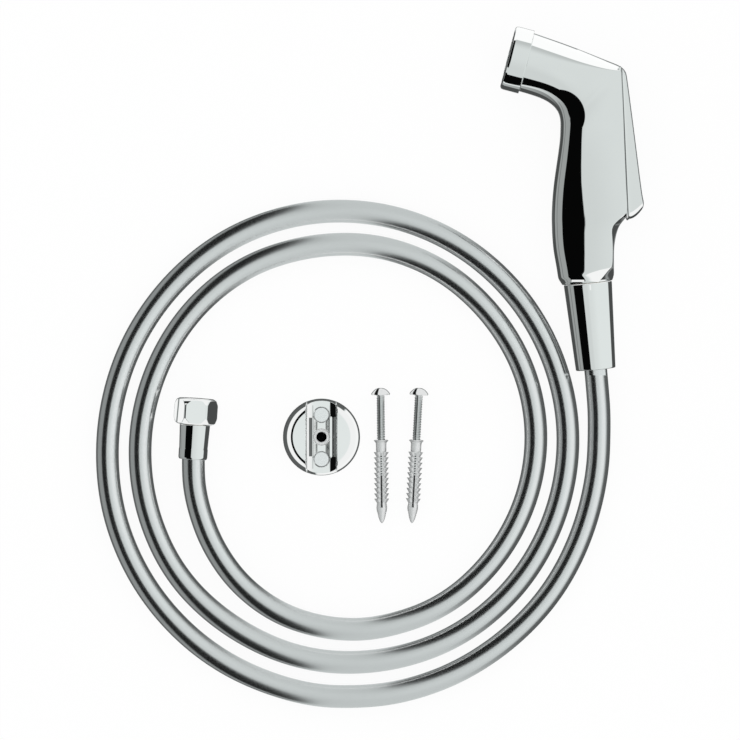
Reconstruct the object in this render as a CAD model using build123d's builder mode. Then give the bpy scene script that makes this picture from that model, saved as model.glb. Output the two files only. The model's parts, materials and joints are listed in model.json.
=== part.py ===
"""Handheld bath sprayer kit, lying flat: trigger handset, silver hose, wall holder, screws and plugs.

The origin is the centre of the wall holder's central hole, on the holder's back face. X runs to the
right, Y up the wall, and Z out of it. Everything rests on the plane z = 0. Lengths are millimetres.
"""

import os
from math import asin, cos, pi, radians, sin, sqrt, tan

from build123d import *

os.makedirs("parts", exist_ok=True)

# ---------------- fits shared by every piece
RUNNING = 0.05  # radial clearance of a shaft that turns or slides in its hole
APART = 0.3  # gap between two bodies that move past each other
WALL = 3.0  # wall of the moulded handset

# ---------------- G1/2 pipe thread, as plain cylinders
THREAD_MAJOR = 20.96
THREAD_MINOR = 18.63
THREAD_LENGTH = 14.0

# ---------------- hose
HOSE_DIAMETER = 14.0
HOSE_BORE = 8.0
COIL_X = 14.1  # the line on which the coil's half turns meet
COIL_START_RADIUS = 115.5
COIL_STEP = 20.0  # growth of the radius in one turn
COIL_TURNS = 2
TAIL_RADIUS = 91.8  # the quarter turn that leads from the coil to the hex nut's sleeve
TAIL_STRAIGHT = 4.4  # straight hose between that quarter turn and the sleeve
LEAD_POINTS = [  # from the coil's outer end; the last two runs follow the cone nut's axis
    (49.0, -155.5, 7.0),
    (76.5, -148.5, 7.0),
    (103.0, -133.0, 7.0),
    (127.5, -109.0, 7.0),
    (147.0, -79.5, 7.0),
    (160.5, -45.0, 7.4),
    (167.4, -8.0, 9.6),
]
LEAD_GUIDE = 6.0  # how far outside the cone nut the hose starts to bend

# ---------------- handset, in its own mid-plane
HANDSET_X, HANDSET_Y = 159.6, 92.4  # where the cone nut's axis meets the handset's lower end
FACE_CENTRE = (-47.9, 135.2)
HEAD_SLOPE = -14.7  # direction of the head's axis, from the face inwards
COLLAR_DIAMETER = 38.8
COLLAR_LENGTH = 11.5
COLLAR_WALL = 2.4
COLLAR_EDGE = 1.6
HEAD_DIAMETER = 35.8
HEAD_TRIM_LENGTH = 30.0
HEAD_TRIM_DIAMETER = 51.8
TOP_CORNER = (18.6, 130.5)
LEVER_LINE_TOP = (20.9, 124.5)
LEVER_LINE_END = (24.2, 42.6)
BACK_CURVE = [(18.4, 33.0), (15.9, 21.0), (15.7, 9.6)]
FOOT_BACK, FOOT_FRONT = 14.6, -15.4
FRONT_CURVE = [
    (-20.2, 20.0),
    (-21.3, 45.0),
    (-19.4, 69.0),
    (-17.2, 88.0),
    (-16.8, 98.0),
    (-21.2, 106.2),
    (-29.5, 110.6),
]
WAIST = [(-3.0, 14.1), (45.0, 13.5), (92.0, 15.0), (122.0, 17.4), (152.0, 18.2)]  # height, half thickness
FRONT_ROUND = 9.0
TOP_ROUND = 7.0

# ---------------- lever and its pin
LEVER_INSET = 1.6  # the lever's sides lie this far inside the body's
LEVER_WALL = 1.8
LEVER_TOP = [(19.1, 129.9), (20.6, 129.3), (23.2, 125.0)]
LEVER_HEEL = [(33.5, 45.6), (33.1, 43.2), (31.4, 41.6), (24.6, 38.4)]
LEVER_OVERLAP = 2.0  # how far the lever's sides reach into the body behind the visible line
LEVER_EDGE = 2.0
PIVOT = (15.5, 124.2)
PIN_DIAMETER = 3.0
PIN_SEAT = 0.8  # how deep the pin's ends lie in the body's walls
HUB_RADIUS = 3.4
HUB_LENGTH = 24.0
HUB_BOTTOM = 120.0
PAD_HEIGHT = 7.0
PAD_WIDTH = 8.0
SLOT_LEFT = 11.2
SLOT_BOTTOM = 36.4
TOP_LIP = 2.4

# ---------------- water core and valve
NUT_LEAN = 5.3  # the cone nut's axis leans this far from the handset's own Y axis
COLUMN_FOOT_RADIUS = 8.5
COLUMN_FOOT = 14.0
COLUMN_RADIUS = 5.6
COLUMN_BORE = 7.2
COLUMN_TOP = 88.0
SPIGOT_RADIUS = 6.4
SPIGOT_LENGTH = 9.0
GROOVE_WIDTH = 1.4
VALVE_Y = 93.0
VALVE_LEFT, VALVE_RIGHT = -13.0, 13.0
VALVE_RADIUS = 8.5
CHAMBER_RADIUS = 6.5
CHAMBER_END = 2.0
SEAT_X = 1.0  # the face of the valve seat that the poppet closes on
SEAT_THICK = 2.0
SEAT_BORE = 4.0
GLAND_LENGTH = 5.0
STEM_RADIUS = 2.0
STEM_TIP = 19.2
POPPET_RADIUS = 5.5
POPPET_THICK = 2.2
POPPET_SEAL = 1.0
SEAL_GAP = 0.1
SMALL_O_RING = 1.2
SPRING_WIRE = 0.7
SPRING_RADIUS = 4.4
SPRING_TURNS = 4
RISER_X = 5.4
RISER_RADIUS = 5.4
RISER_BORE = 4.4
BARREL_RADIUS = 7.5
BARREL_BORE = 8.0
BARREL_END = 58.0  # along the head's axis, from the face

# ---------------- spray face
PLATE_THICK = 1.6
PLATE_RECESS = 1.0
SPRAY_HOLE = 1.1
SPRAY_RING_RADII = [4.0, 7.4, 10.8, 13.8]
SPRAY_RING_COUNTS = [6, 12, 18, 24]
DIFFUSER_THICK = 2.0
DIFFUSER_HOLE = 2.6
DIFFUSER_CIRCLE = 9.0
DIFFUSER_COUNT = 8
DIFFUSER_GAP = 3.0
FACE_SEAL = 1.8
OUTLET_SEAL = 1.0

# ---------------- cone nut and the handset's end of the hose
CONE_TOP_DIAMETER = 29.0
CONE_END_DIAMETER = 23.8
CONE_LENGTH = 52.0
CONE_EDGE = 0.5
CONE_CAVITY = 31.0
CONNECTOR_BORE = 8.0
VALVE_CARTRIDGE_LENGTH = 8.0
VALVE_CARTRIDGE_BORE = 5.6
SCREEN_THICK = 0.6
SCREEN_HOLE = 1.2
SCREEN_PITCH = 2.1
WASHER_THICK = 2.0
WASHER_RADIUS = 9.0
WASHER_BORE = 8.0
INSERT_FLANGE = 2.0
INSERT_BORE = 5.4
BARB_LENGTH = 15.0
BARB_COUNT = 4
BARB_DEPTH = 0.4
FERRULE_WALL = 1.0

# ---------------- hex nut and sleeve at the hose's other end
SLEEVE_LEAN = 3.8  # the sleeve's axis leans this far to the right of Y
SLEEVE_TOP_DIAMETER = 18.2
SLEEVE_END_DIAMETER = 16.6
SLEEVE_RING_DIAMETER = 17.9
SLEEVE_RING_START, SLEEVE_RING_END = 14.4, 19.4
SLEEVE_LENGTH = 20.7
SLEEVE_CROWN = 2.5
HEX_FLATS = 23.0
HEX_HEIGHT = 15.5
HEX_CHAMFER = 1.3
HEX_LIP = 3.0
HEX_WASHER_RADIUS = 9.0
HEX_RELIEF_RADIUS = 9.6
NECK_RADIUS = 6.5

# ---------------- wall holder
HOLDER_DIAMETER = 46.2
HOLDER_RIM = 2.4
HOLDER_SHOULDER_DIAMETER = 42.4
HOLDER_TOP_DIAMETER = 36.8
HOLDER_HEIGHT = 18.0
CHANNEL_RADIUS = 10.2
CHANNEL_HEIGHT = 14.0
HOLDER_EDGE = 0.7
CAP_SPACING = 26.6
CAP_DIAMETER = 10.0
CAP_SEAT = 2.6  # height of the seat that a cap lies on
CAP_THICK = 2.8
SCREW_HOLE = 5.2
RING_DIAMETER = 10.2
RING_BORE = 6.3
RING_HEIGHT = 5.6

# ---------------- screws and wall plugs
SCREW_PLACES = [(35.46, 25.2, 0.6), (58.4, 25.2, -3.1)]  # under the head: x, y and lean from straight down
SCREW_HEAD_DIAMETER = 11.2
SCREW_HEAD_HEIGHT = 4.2
SCREW_HEAD_RIM = 0.8
SCREW_LENGTH = 54.0
SCREW_DIAMETER = 4.6
SCREW_POINT = 6.0
RECESS_WIDTH = 1.3
RECESS_SPAN = 5.6
RECESS_DEPTH = 2.2
PLUG_START = 27.0  # from under the screw's head to the plug's collar
PLUG_LENGTH = 50.0
PLUG_COLLAR_DIAMETER = 8.7
PLUG_COLLAR_THICK = 1.4
PLUG_NECK_LENGTH = 7.2
PLUG_CORE_DIAMETER = 6.4
PLUG_TIP_DIAMETER = 2.4
TOOTH_DIAMETER = 8.9
TOOTH_PITCH = 3.1
TOOTH_ROWS = 10
TOOTH_GAP = 3.4  # width of the smooth strip on the plug's front and back
SLOT_WIDTH = 1.1
SLOT_START = 8.4
SLOT_LENGTH = 32.0


def save(part, label):
    """Names a finished piece and writes its STEP file."""
    part.label = label
    export_step(part, f"parts/{label}.step")


def square_to(base, x, y, angle):
    """A plane at (x, y) of base, square to the direction at this angle, so that solids extrude along it."""
    heading = base.x_dir * cos(radians(angle)) + base.y_dir * sin(radians(angle))
    return Plane(origin=base.from_local_coords((x, y, 0)), x_dir=base.z_dir, z_dir=heading)


def bar(plane, start, end, outer, inner=0.0):
    """A round bar or tube of these radii along a plane's normal, from start to end."""
    with BuildPart() as made:
        with BuildSketch(plane.offset(start)):
            Circle(outer)
            if inner:
                Circle(inner, mode=Mode.SUBTRACT)
        extrude(amount=end - start)
    return made.part


def turned(plane, profile):
    """A solid of revolution about a plane's normal, from (radius, height) points."""
    with BuildPart() as made:
        with BuildSketch(Plane(origin=plane.origin, x_dir=plane.x_dir, z_dir=-plane.y_dir)):
            with BuildLine():
                Polyline(profile, close=True)
            make_face()
        revolve(axis=Axis(plane.origin, plane.z_dir))
    return made.part


def o_ring(plane, height, radius, section):
    """A rubber ring about a plane's normal; radius runs to the middle of its round section."""
    with BuildPart() as made:
        with BuildSketch(Plane(origin=plane.origin, x_dir=plane.x_dir, z_dir=-plane.y_dir)):
            with Locations((radius, height)):
                Circle(section / 2)
        revolve(axis=Axis(plane.origin, plane.z_dir))
    return made.part


def barbed_insert(plane, hose_end, flange_profile):
    """A hose insert: barbs in the hose's bore below hose_end, and given (radius, height) points above."""
    barb_radius = HOSE_BORE / 2
    pitch = BARB_LENGTH / BARB_COUNT
    barbs = [(INSERT_BORE / 2, hose_end - BARB_LENGTH)]
    for row in range(BARB_COUNT):
        foot_height = hose_end - BARB_LENGTH + row * pitch
        barbs += [(barb_radius - BARB_DEPTH, foot_height), (barb_radius, foot_height + 0.8 * pitch)]
    top = flange_profile[-1][1]
    return turned(plane, [*barbs, (barb_radius, hose_end), *flange_profile, (INSERT_BORE / 2, top)])


# ================ planes that the pieces hang on
collar_radius = COLLAR_DIAMETER / 2
cone_top_radius = CONE_TOP_DIAMETER / 2
cone_end_radius = CONE_END_DIAMETER / 2
collar_contact_y = FACE_CENTRE[1] + COLLAR_LENGTH / 2 * sin(radians(HEAD_SLOPE))
handset_tilt = asin((collar_radius - cone_top_radius) / collar_contact_y)
handset = Plane(
    origin=(HANDSET_X, HANDSET_Y, cone_top_radius),
    x_dir=(1, 0, 0),
    z_dir=(0, -sin(handset_tilt), cos(handset_tilt)),
)
front_view = Plane(origin=handset.origin, x_dir=handset.z_dir, z_dir=-handset.x_dir)
head = square_to(handset, *FACE_CENTRE, HEAD_SLOPE)  # points from the face inwards
nut_axis = square_to(handset, 0, 0, 90 + NUT_LEAN)  # points up into the handset
valve = square_to(handset, 0, VALVE_Y, 0)
riser = square_to(handset, RISER_X, VALVE_Y, 90)
pivot = Plane(origin=handset.from_local_coords((*PIVOT, 0)), x_dir=handset.x_dir, z_dir=handset.z_dir)

# ================ hose
hose_radius = HOSE_DIAMETER / 2
hose_bore_radius = HOSE_BORE / 2
sleeve_reach = TAIL_RADIUS * (1 + sin(radians(SLEEVE_LEAN))) + TAIL_STRAIGHT + SLEEVE_LENGTH
tail_rise = asin((HEX_FLATS / 2 - hose_radius) / sleeve_reach)  # the hex nut's lower edge rests on z = 0
tail_plane = Plane(
    origin=(COIL_X, -COIL_START_RADIUS, hose_radius),
    x_dir=(1, 0, 0),
    z_dir=(0, -sin(tail_rise), cos(tail_rise)),
)
with BuildLine(tail_plane) as tail_line:
    quarter = JernArc((0, 0), (-1, 0), TAIL_RADIUS, -90 - SLEEVE_LEAN)
    Line(quarter @ 1, quarter @ 1 + (TAIL_STRAIGHT + SLEEVE_LENGTH - SLEEVE_CROWN) * (quarter % 1))
with BuildLine(Plane.XY.offset(hose_radius)) as turns_line:
    half_turn = JernArc((COIL_X, -COIL_START_RADIUS), (1, 0), COIL_START_RADIUS, 180)
    for half in range(1, 2 * COIL_TURNS):
        half_turn = JernArc(half_turn @ 1, half_turn % 1, COIL_START_RADIUS + half * COIL_STEP / 2, 180)
    Line(half_turn @ 1, half_turn @ 1 + HOSE_DIAMETER * (half_turn % 1))
coil_path = Wire([*tail_line.edges(), *turns_line.edges()])
coil_end = Vector(COIL_X + HOSE_DIAMETER, -COIL_START_RADIUS - COIL_STEP * COIL_TURNS, hose_radius)
sleeve_heading = tail_line.edges().sort_by(Axis.Y)[-1] % 1
sleeve_foot = tail_line.edges().sort_by(Axis.Y)[-1] @ 1 + sleeve_heading * (SLEEVE_CROWN - SLEEVE_LENGTH)
sleeve = Plane(
    origin=sleeve_foot + sleeve_heading * SLEEVE_LENGTH,
    x_dir=tail_plane.z_dir,
    z_dir=sleeve_heading,
)


def hose_section(plane):
    """The hose's ring-shaped section on a plane."""
    with BuildSketch(plane) as section:
        Circle(hose_radius)
        Circle(hose_bore_radius, mode=Mode.SUBTRACT)
    return section.sketch


with BuildPart() as hose_coil:
    sweep(hose_section(Plane(origin=coil_end, z_dir=(1, 0, 0))), path=coil_path)
save(hose_coil.part, "hose_coil")

insert_face = -THREAD_LENGTH - WASHER_THICK - INSERT_FLANGE  # where the hose ends inside the cone nut
lead_end = nut_axis.from_local_coords((0, 0, insert_face))
lead_guide = nut_axis.from_local_coords((0, 0, -CONE_LENGTH - LEAD_GUIDE))
lead_points = [coil_end, *[Vector(*point) for point in LEAD_POINTS], lead_guide, lead_end]
lead_radii = []
for before, corner, after in zip(lead_points, lead_points[1:], lead_points[2:]):
    run_in, run_out = corner - before, after - corner
    half_angle = radians(run_in.get_angle(run_out)) / 2
    lead_radii.append(0.45 * min(run_in.length, run_out.length) / tan(half_angle))
print("hose lead radii:", [round(radius, 1) for radius in lead_radii])
with BuildLine() as lead_line:
    FilletPolyline(*lead_points, radius=lead_radii)
lead_path = lead_line.wires()[0]
with BuildPart() as hose_lead:
    sweep(hose_section(Plane(origin=coil_end, z_dir=(1, 0, 0))), path=lead_path)
save(hose_lead.part, "hose_lead")

hose_area = pi * (hose_radius**2 - hose_bore_radius**2)
for label, made, path in (("coil", hose_coil.part, coil_path), ("lead", hose_lead.part, lead_path)):
    share = made.volume / hose_area / path.length
    print(f"hose {label}: {path.length:.1f} mm long; volume over section times length {share:.4f}")
SAMPLES = 600
route = [coil_path.position_at(sample / SAMPLES) for sample in range(SAMPLES + 1)]
least = min(
    (one - other).length for index, one in enumerate(route) for other in route[index + SAMPLES // 6 :]
)
print(f"hose coil: least gap to itself {least - HOSE_DIAMETER:.2f} mm")

# ================ handset body
head_radius = HEAD_DIAMETER / 2
up_x, up_y = sin(radians(-HEAD_SLOPE)), cos(radians(HEAD_SLOPE))
seam_x = FACE_CENTRE[0] + COLLAR_LENGTH * cos(radians(HEAD_SLOPE))
seam_y = FACE_CENTRE[1] + COLLAR_LENGTH * sin(radians(HEAD_SLOPE))
seam_top = (seam_x + head_radius * up_x, seam_y + head_radius * up_y)
seam_bottom = (seam_x - head_radius * up_x, seam_y - head_radius * up_y)
inner_radius = collar_radius - COLLAR_WALL
plate_back = PLATE_RECESS + PLATE_THICK
diffuser_back = plate_back + DIFFUSER_GAP + DIFFUSER_THICK
seal_face = diffuser_back + FACE_SEAL


def foot(x):
    """A point of the body's lower end, which lies square to the cone nut's axis and just clear of it."""
    return (x, APART + x * tan(radians(NUT_LEAN)))


def drawn_in(points, inset):
    """A clockwise loop of points moved in so that each side of it lies inset further in."""
    loop = [Vector(*point) for point in points]
    moved = []
    for before, point, after in zip(loop[-1:] + loop[:-1], loop, loop[1:] + loop[:1]):
        first = (point - before).normalized().rotate(Axis.Z, -90)
        second = (after - point).normalized().rotate(Axis.Z, -90)
        moved.append(point + (first + second) * (inset / (1 + first.dot(second))))
    return moved


def side_outline(inset):
    """The handset's outline seen from its side, without the lever, drawn in by inset."""
    corners = [seam_top, TOP_CORNER, LEVER_LINE_TOP, LEVER_LINE_END, *BACK_CURVE]
    back_end = len(corners)
    corners += [foot(FOOT_BACK), foot(FOOT_FRONT), *FRONT_CURVE, seam_bottom]
    loop = drawn_in(corners, inset)
    Polyline(loop[:4])
    Spline(loop[3 : back_end + 1])
    Line(loop[back_end], loop[back_end + 1])
    Spline(loop[back_end + 1 :])
    Line(loop[-1], loop[0])


def within_waist(inset):
    """A prism along the handset's own X axis that holds what lies inset or more within its sides."""
    right = [(half - inset, y) for y, half in WAIST]
    left = [(-x, y) for x, y in right]
    with BuildPart() as prism:
        with BuildSketch(front_view.offset(-3 * COLLAR_DIAMETER)):
            with BuildLine():
                Spline(right)
                Line(right[-1], left[-1])
                Spline(left)
                Line(left[0], right[0])
            make_face()
        extrude(amount=6 * COLLAR_DIAMETER)
    return prism.part


def head_surround(inset):
    """All that lies round the head, outside the cone that runs from the collar's seam into the body."""
    near, far = head.offset(COLLAR_LENGTH), head.offset(COLLAR_LENGTH + HEAD_TRIM_LENGTH)
    with BuildPart() as surround:
        with BuildSketch(near):
            Circle(HEAD_TRIM_DIAMETER)
        extrude(amount=HEAD_TRIM_LENGTH)
        with BuildSketch(near):
            Circle(head_radius - inset)
        with BuildSketch(far):
            Circle(HEAD_TRIM_DIAMETER / 2 - inset)
        loft(mode=Mode.SUBTRACT)
    return surround.part


def side_edge(edge, x, y):
    """Whether an edge of the handset runs along one of its sides, with its middle near (x, y)."""
    middle = handset.to_local_coords(edge @ 0.5)
    return abs(middle.Z) > WAIST[1][1] / 2 and abs(middle.X - x) < WALL * 3 and abs(middle.Y - y) < WALL * 6


def handset_block(inset):
    """The handset's outer shape, drawn in by inset on every side, with its long edges rounded."""
    top_middle = ((seam_top[0] + TOP_CORNER[0]) / 2, (seam_top[1] + TOP_CORNER[1]) / 2)
    with BuildPart() as block:
        with BuildSketch(handset.offset(-COLLAR_DIAMETER)):
            with BuildLine():
                side_outline(inset)
            make_face()
        extrude(amount=2 * COLLAR_DIAMETER)
        add(within_waist(inset), mode=Mode.INTERSECT)
        fillet(block.edges().filter_by(lambda edge: side_edge(edge, *FRONT_CURVE[2])), FRONT_ROUND - inset)
        fillet(block.edges().filter_by(lambda edge: side_edge(edge, *top_middle)), TOP_ROUND - inset)
        add(head_surround(inset), mode=Mode.SUBTRACT)
    return block.part


with BuildPart() as lever_slot:
    with BuildSketch(handset.offset(-COLLAR_DIAMETER)):
        with BuildLine():
            Polyline(
                (SLOT_LEFT, SLOT_BOTTOM),
                (3 * SLOT_LEFT, SLOT_BOTTOM),
                (3 * SLOT_LEFT, TOP_CORNER[1] + TOP_LIP),
                (TOP_CORNER[0] - APART, TOP_CORNER[1] + TOP_LIP),
                (TOP_CORNER[0] - APART, TOP_CORNER[1] - TOP_LIP),
                (SLOT_LEFT, TOP_CORNER[1] - TOP_LIP),
                close=True,
            )
        make_face()
    extrude(amount=2 * COLLAR_DIAMETER)
    add(within_waist(LEVER_INSET - APART), mode=Mode.INTERSECT)

outer_block, inner_block = handset_block(0), handset_block(WALL)
pin_half = WAIST[3][1] - LEVER_INSET + APART + PIN_SEAT
with BuildPart() as handset_body:
    add(outer_block)
    add(inner_block, mode=Mode.SUBTRACT)
    add(lever_slot.part, mode=Mode.SUBTRACT)
    with BuildSketch(head.offset(COLLAR_LENGTH)):
        Circle(BARREL_RADIUS)
    extrude(amount=2 * WALL, mode=Mode.SUBTRACT)
    with BuildSketch(nut_axis.offset(-WALL)):
        Circle(COLUMN_FOOT_RADIUS)
    extrude(amount=3 * WALL, mode=Mode.SUBTRACT)
    with BuildSketch(head.offset(seal_face)):
        Circle(inner_radius - APART)
        Circle(BARREL_RADIUS, mode=Mode.SUBTRACT)
    extrude(amount=COLLAR_LENGTH - seal_face + WALL / 2)
    with BuildSketch(pivot.offset(-pin_half)):
        Circle(PIN_DIAMETER / 2)
    extrude(amount=2 * pin_half, mode=Mode.SUBTRACT)
save(handset_body.part, "handset_body")

# ================ spray face
with BuildPart() as face_collar:
    with BuildSketch(head):
        Circle(collar_radius)
    extrude(amount=COLLAR_LENGTH - RUNNING)
    fillet(face_collar.edges().group_by(lambda edge: head.to_local_coords(edge.center()).Z)[0], COLLAR_EDGE)
    with BuildSketch(head):
        Circle(inner_radius)
    extrude(amount=COLLAR_LENGTH, mode=Mode.SUBTRACT)
save(face_collar.part, "face_collar")

with BuildPart() as spray_plate:
    with BuildSketch(head.offset(PLATE_RECESS)):
        Circle(inner_radius)
        Circle(SPRAY_HOLE / 2, mode=Mode.SUBTRACT)
        for ring_radius, holes in zip(SPRAY_RING_RADII, SPRAY_RING_COUNTS):
            with PolarLocations(ring_radius, holes):
                Circle(SPRAY_HOLE / 2, mode=Mode.SUBTRACT)
    extrude(amount=PLATE_THICK)
save(spray_plate.part, "spray_plate")

with BuildPart() as flow_diffuser:
    with BuildSketch(head.offset(plate_back + DIFFUSER_GAP)):
        Circle(inner_radius)
        with PolarLocations(DIFFUSER_CIRCLE, DIFFUSER_COUNT):
            Circle(DIFFUSER_HOLE / 2, mode=Mode.SUBTRACT)
    extrude(amount=DIFFUSER_THICK)
    with BuildSketch(head.offset(plate_back)):
        Circle(inner_radius)
        Circle(inner_radius - COLLAR_WALL / 2, mode=Mode.SUBTRACT)
    extrude(amount=DIFFUSER_GAP)
save(flow_diffuser.part, "flow_diffuser")

face_seal = o_ring(head, diffuser_back + FACE_SEAL / 2, inner_radius - FACE_SEAL / 2, FACE_SEAL)
save(face_seal, "face_seal")
outlet_seal_radius = (BARREL_RADIUS + BARREL_BORE / 2) / 2
outlet_seal = o_ring(head, diffuser_back + OUTLET_SEAL / 2, outlet_seal_radius, OUTLET_SEAL)
save(outlet_seal, "outlet_seal")

# ================ water core
valve_chamber = VALVE_LEFT + CHAMBER_END
gland_x = VALVE_RIGHT - GLAND_LENGTH
riser_top = (RISER_X - FACE_CENTRE[0]) * tan(radians(HEAD_SLOPE)) + FACE_CENTRE[1] - VALVE_Y
with BuildPart() as water_core:
    add(bar(nut_axis, APART, COLUMN_TOP, COLUMN_RADIUS))
    add(bar(nut_axis, APART, COLUMN_FOOT, COLUMN_FOOT_RADIUS))
    add(bar(valve, VALVE_LEFT, VALVE_RIGHT, VALVE_RADIUS))
    add(bar(riser, 0, riser_top, RISER_RADIUS))
    add(bar(head, diffuser_back + OUTLET_SEAL, BARREL_END, BARREL_RADIUS))
    add(bar(nut_axis, APART, COLUMN_TOP, COLUMN_BORE / 2), mode=Mode.SUBTRACT)
    add(bar(nut_axis, APART, APART + SPIGOT_LENGTH, SPIGOT_RADIUS + RUNNING), mode=Mode.SUBTRACT)
    add(bar(valve, valve_chamber, VALVE_RIGHT, CHAMBER_RADIUS), mode=Mode.SUBTRACT)
    add(bar(riser, 0, riser_top, RISER_BORE / 2), mode=Mode.SUBTRACT)
    add(bar(head, diffuser_back, BARREL_END - CHAMBER_END, BARREL_BORE / 2), mode=Mode.SUBTRACT)
save(water_core.part, "water_core")

# ================ valve
valve_seat = bar(valve, SEAT_X, SEAT_X + SEAT_THICK, CHAMBER_RADIUS, SEAT_BORE)
save(valve_seat, "valve_seat")

stem_bore = STEM_RADIUS + RUNNING
seal_pocket = stem_bore + SMALL_O_RING
gland_points = [
    (stem_bore, VALVE_RIGHT),
    (CHAMBER_RADIUS, VALVE_RIGHT),
    (CHAMBER_RADIUS, gland_x),
    (seal_pocket, gland_x),
    (seal_pocket, gland_x + GROOVE_WIDTH),
    (stem_bore, gland_x + GROOVE_WIDTH),
]
save(turned(valve, gland_points), "valve_gland")
stem_seal = o_ring(valve, gland_x + GROOVE_WIDTH / 2, stem_bore + SMALL_O_RING / 2, SMALL_O_RING)
save(stem_seal, "stem_seal")

seal_back = SEAT_X - SEAL_GAP - POPPET_SEAL
poppet_back = seal_back - POPPET_THICK
with BuildPart() as valve_stem:
    add(bar(valve, poppet_back, STEM_TIP, STEM_RADIUS))
    fillet(valve_stem.edges().sort_by(Axis.X)[-1], STEM_RADIUS / 2)
    add(bar(valve, poppet_back, seal_back, POPPET_RADIUS))
save(valve_stem.part, "valve_stem")
save(bar(valve, seal_back, SEAT_X - SEAL_GAP, POPPET_RADIUS, STEM_RADIUS), "poppet_seal")

spring_start = valve_chamber + SPRING_WIRE / 2 + RUNNING
spring_length = poppet_back - valve_chamber - SPRING_WIRE - 2 * RUNNING
with BuildPart() as valve_spring:
    with BuildLine(valve.offset(spring_start)) as coil_line:
        Helix(
            pitch=spring_length / SPRING_TURNS,
            height=spring_length,
            radius=SPRING_RADIUS,
            direction=valve.z_dir,
        )
    with BuildSketch(Plane(origin=coil_line.wires()[0] @ 0, z_dir=coil_line.wires()[0] % 0)):
        Circle(SPRING_WIRE / 2)
    sweep(path=coil_line.wires()[0], is_frenet=True)
save(valve_spring.part, "valve_spring")

# ================ lever and its pin
back_lean = (LEVER_HEEL[0][0] - LEVER_TOP[-1][0]) / (LEVER_TOP[-1][1] - LEVER_HEEL[0][1])


def lever_back(y):
    """Where the lever's outer wall stands at this height."""
    return LEVER_TOP[-1][0] + (LEVER_TOP[-1][1] - y) * back_lean


def side_prism(points, half_width):
    """A prism across the handset, square to its mid-plane, from points in that plane."""
    with BuildPart() as prism:
        with BuildSketch(handset.offset(-half_width)):
            with BuildLine():
                Polyline(points, close=True)
            make_face()
        extrude(amount=2 * half_width)
    return prism.part


inner_top = LEVER_LINE_TOP[0] - LEVER_OVERLAP
inner_end = LEVER_LINE_END[0] - LEVER_OVERLAP
lever_points = [*LEVER_TOP, *LEVER_HEEL, (inner_end, LEVER_HEEL[-1][1]), (inner_top, LEVER_LINE_TOP[1])]
lever_height = LEVER_TOP[-1][1] - LEVER_HEEL[-1][1]
hollow_points = [
    (inner_top - HUB_RADIUS, HUB_BOTTOM),
    (lever_back(HUB_BOTTOM) - LEVER_WALL, HUB_BOTTOM),
    (lever_back(LEVER_HEEL[0][1]) - LEVER_WALL, LEVER_HEEL[0][1] + LEVER_WALL / 2),
    (LEVER_HEEL[2][0] - LEVER_WALL, LEVER_HEEL[2][1] + LEVER_WALL),
    (inner_end, LEVER_HEEL[-1][1] + LEVER_WALL),
    (inner_top - HUB_RADIUS, LEVER_HEEL[-1][1] + LEVER_WALL),
]
hub_points = [
    (PIVOT[0], PIVOT[1] + HUB_RADIUS),
    (LEVER_LINE_TOP[0], PIVOT[1] + HUB_RADIUS),
    (LEVER_LINE_TOP[0], HUB_BOTTOM),
    (PIVOT[0], PIVOT[1] - HUB_RADIUS),
]
pad_x = STEM_TIP + APART
pad_points = [
    (pad_x, VALVE_Y - PAD_HEIGHT / 2),
    (pad_x, VALVE_Y + PAD_HEIGHT / 2),
    (lever_back(VALVE_Y + PAD_HEIGHT / 2) - LEVER_WALL / 2, VALVE_Y + PAD_HEIGHT / 2),
    (lever_back(VALVE_Y - PAD_HEIGHT / 2) - LEVER_WALL / 2, VALVE_Y - PAD_HEIGHT / 2),
]
with BuildPart() as lever:
    add(side_prism(lever_points, COLLAR_DIAMETER))
    add(within_waist(LEVER_INSET), mode=Mode.INTERSECT)
    long_edges = lever.edges().filter_by(lambda edge: edge.length > lever_height / 2)
    back_edges = long_edges.filter_by(lambda edge: abs(handset.to_local_coords(edge @ 0.5).Z) > PAD_HEIGHT)
    fillet(back_edges.sort_by(Axis.X)[-2:], LEVER_EDGE)
    with BuildPart(mode=Mode.PRIVATE) as hollow:
        add(side_prism(hollow_points, COLLAR_DIAMETER))
        add(within_waist(LEVER_INSET + LEVER_WALL), mode=Mode.INTERSECT)
    add(hollow.part, mode=Mode.SUBTRACT)
    add(side_prism(hub_points, HUB_LENGTH / 2))
    add(bar(pivot, -HUB_LENGTH / 2, HUB_LENGTH / 2, HUB_RADIUS))
    add(side_prism(pad_points, PAD_WIDTH / 2))
    add(bar(pivot, -COLLAR_DIAMETER, COLLAR_DIAMETER, PIN_DIAMETER / 2 + RUNNING), mode=Mode.SUBTRACT)
save(lever.part, "lever")
save(bar(pivot, -pin_half, pin_half, PIN_DIAMETER / 2), "lever_pin")

# ================ inlet, cone nut and the hose's end inside it
thread_radius = THREAD_MAJOR / 2
groove_floor = SPIGOT_RADIUS - SMALL_O_RING
groove_bottom = APART + (SPIGOT_LENGTH - GROOVE_WIDTH) / 2
connector_points = [
    (CONNECTOR_BORE / 2, -THREAD_LENGTH),
    (thread_radius, -THREAD_LENGTH),
    (thread_radius, APART - RUNNING),
    (SPIGOT_RADIUS, APART - RUNNING),
    (SPIGOT_RADIUS, groove_bottom),
    (groove_floor, groove_bottom),
    (groove_floor, groove_bottom + GROOVE_WIDTH),
    (SPIGOT_RADIUS, groove_bottom + GROOVE_WIDTH),
    (SPIGOT_RADIUS, APART + SPIGOT_LENGTH),
    (CONNECTOR_BORE / 2, APART + SPIGOT_LENGTH),
]
save(turned(nut_axis, connector_points), "inlet_connector")
connector_seal = o_ring(
    nut_axis, groove_bottom + GROOVE_WIDTH / 2, groove_floor + SMALL_O_RING / 2, SMALL_O_RING
)
save(connector_seal, "connector_seal")

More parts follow.
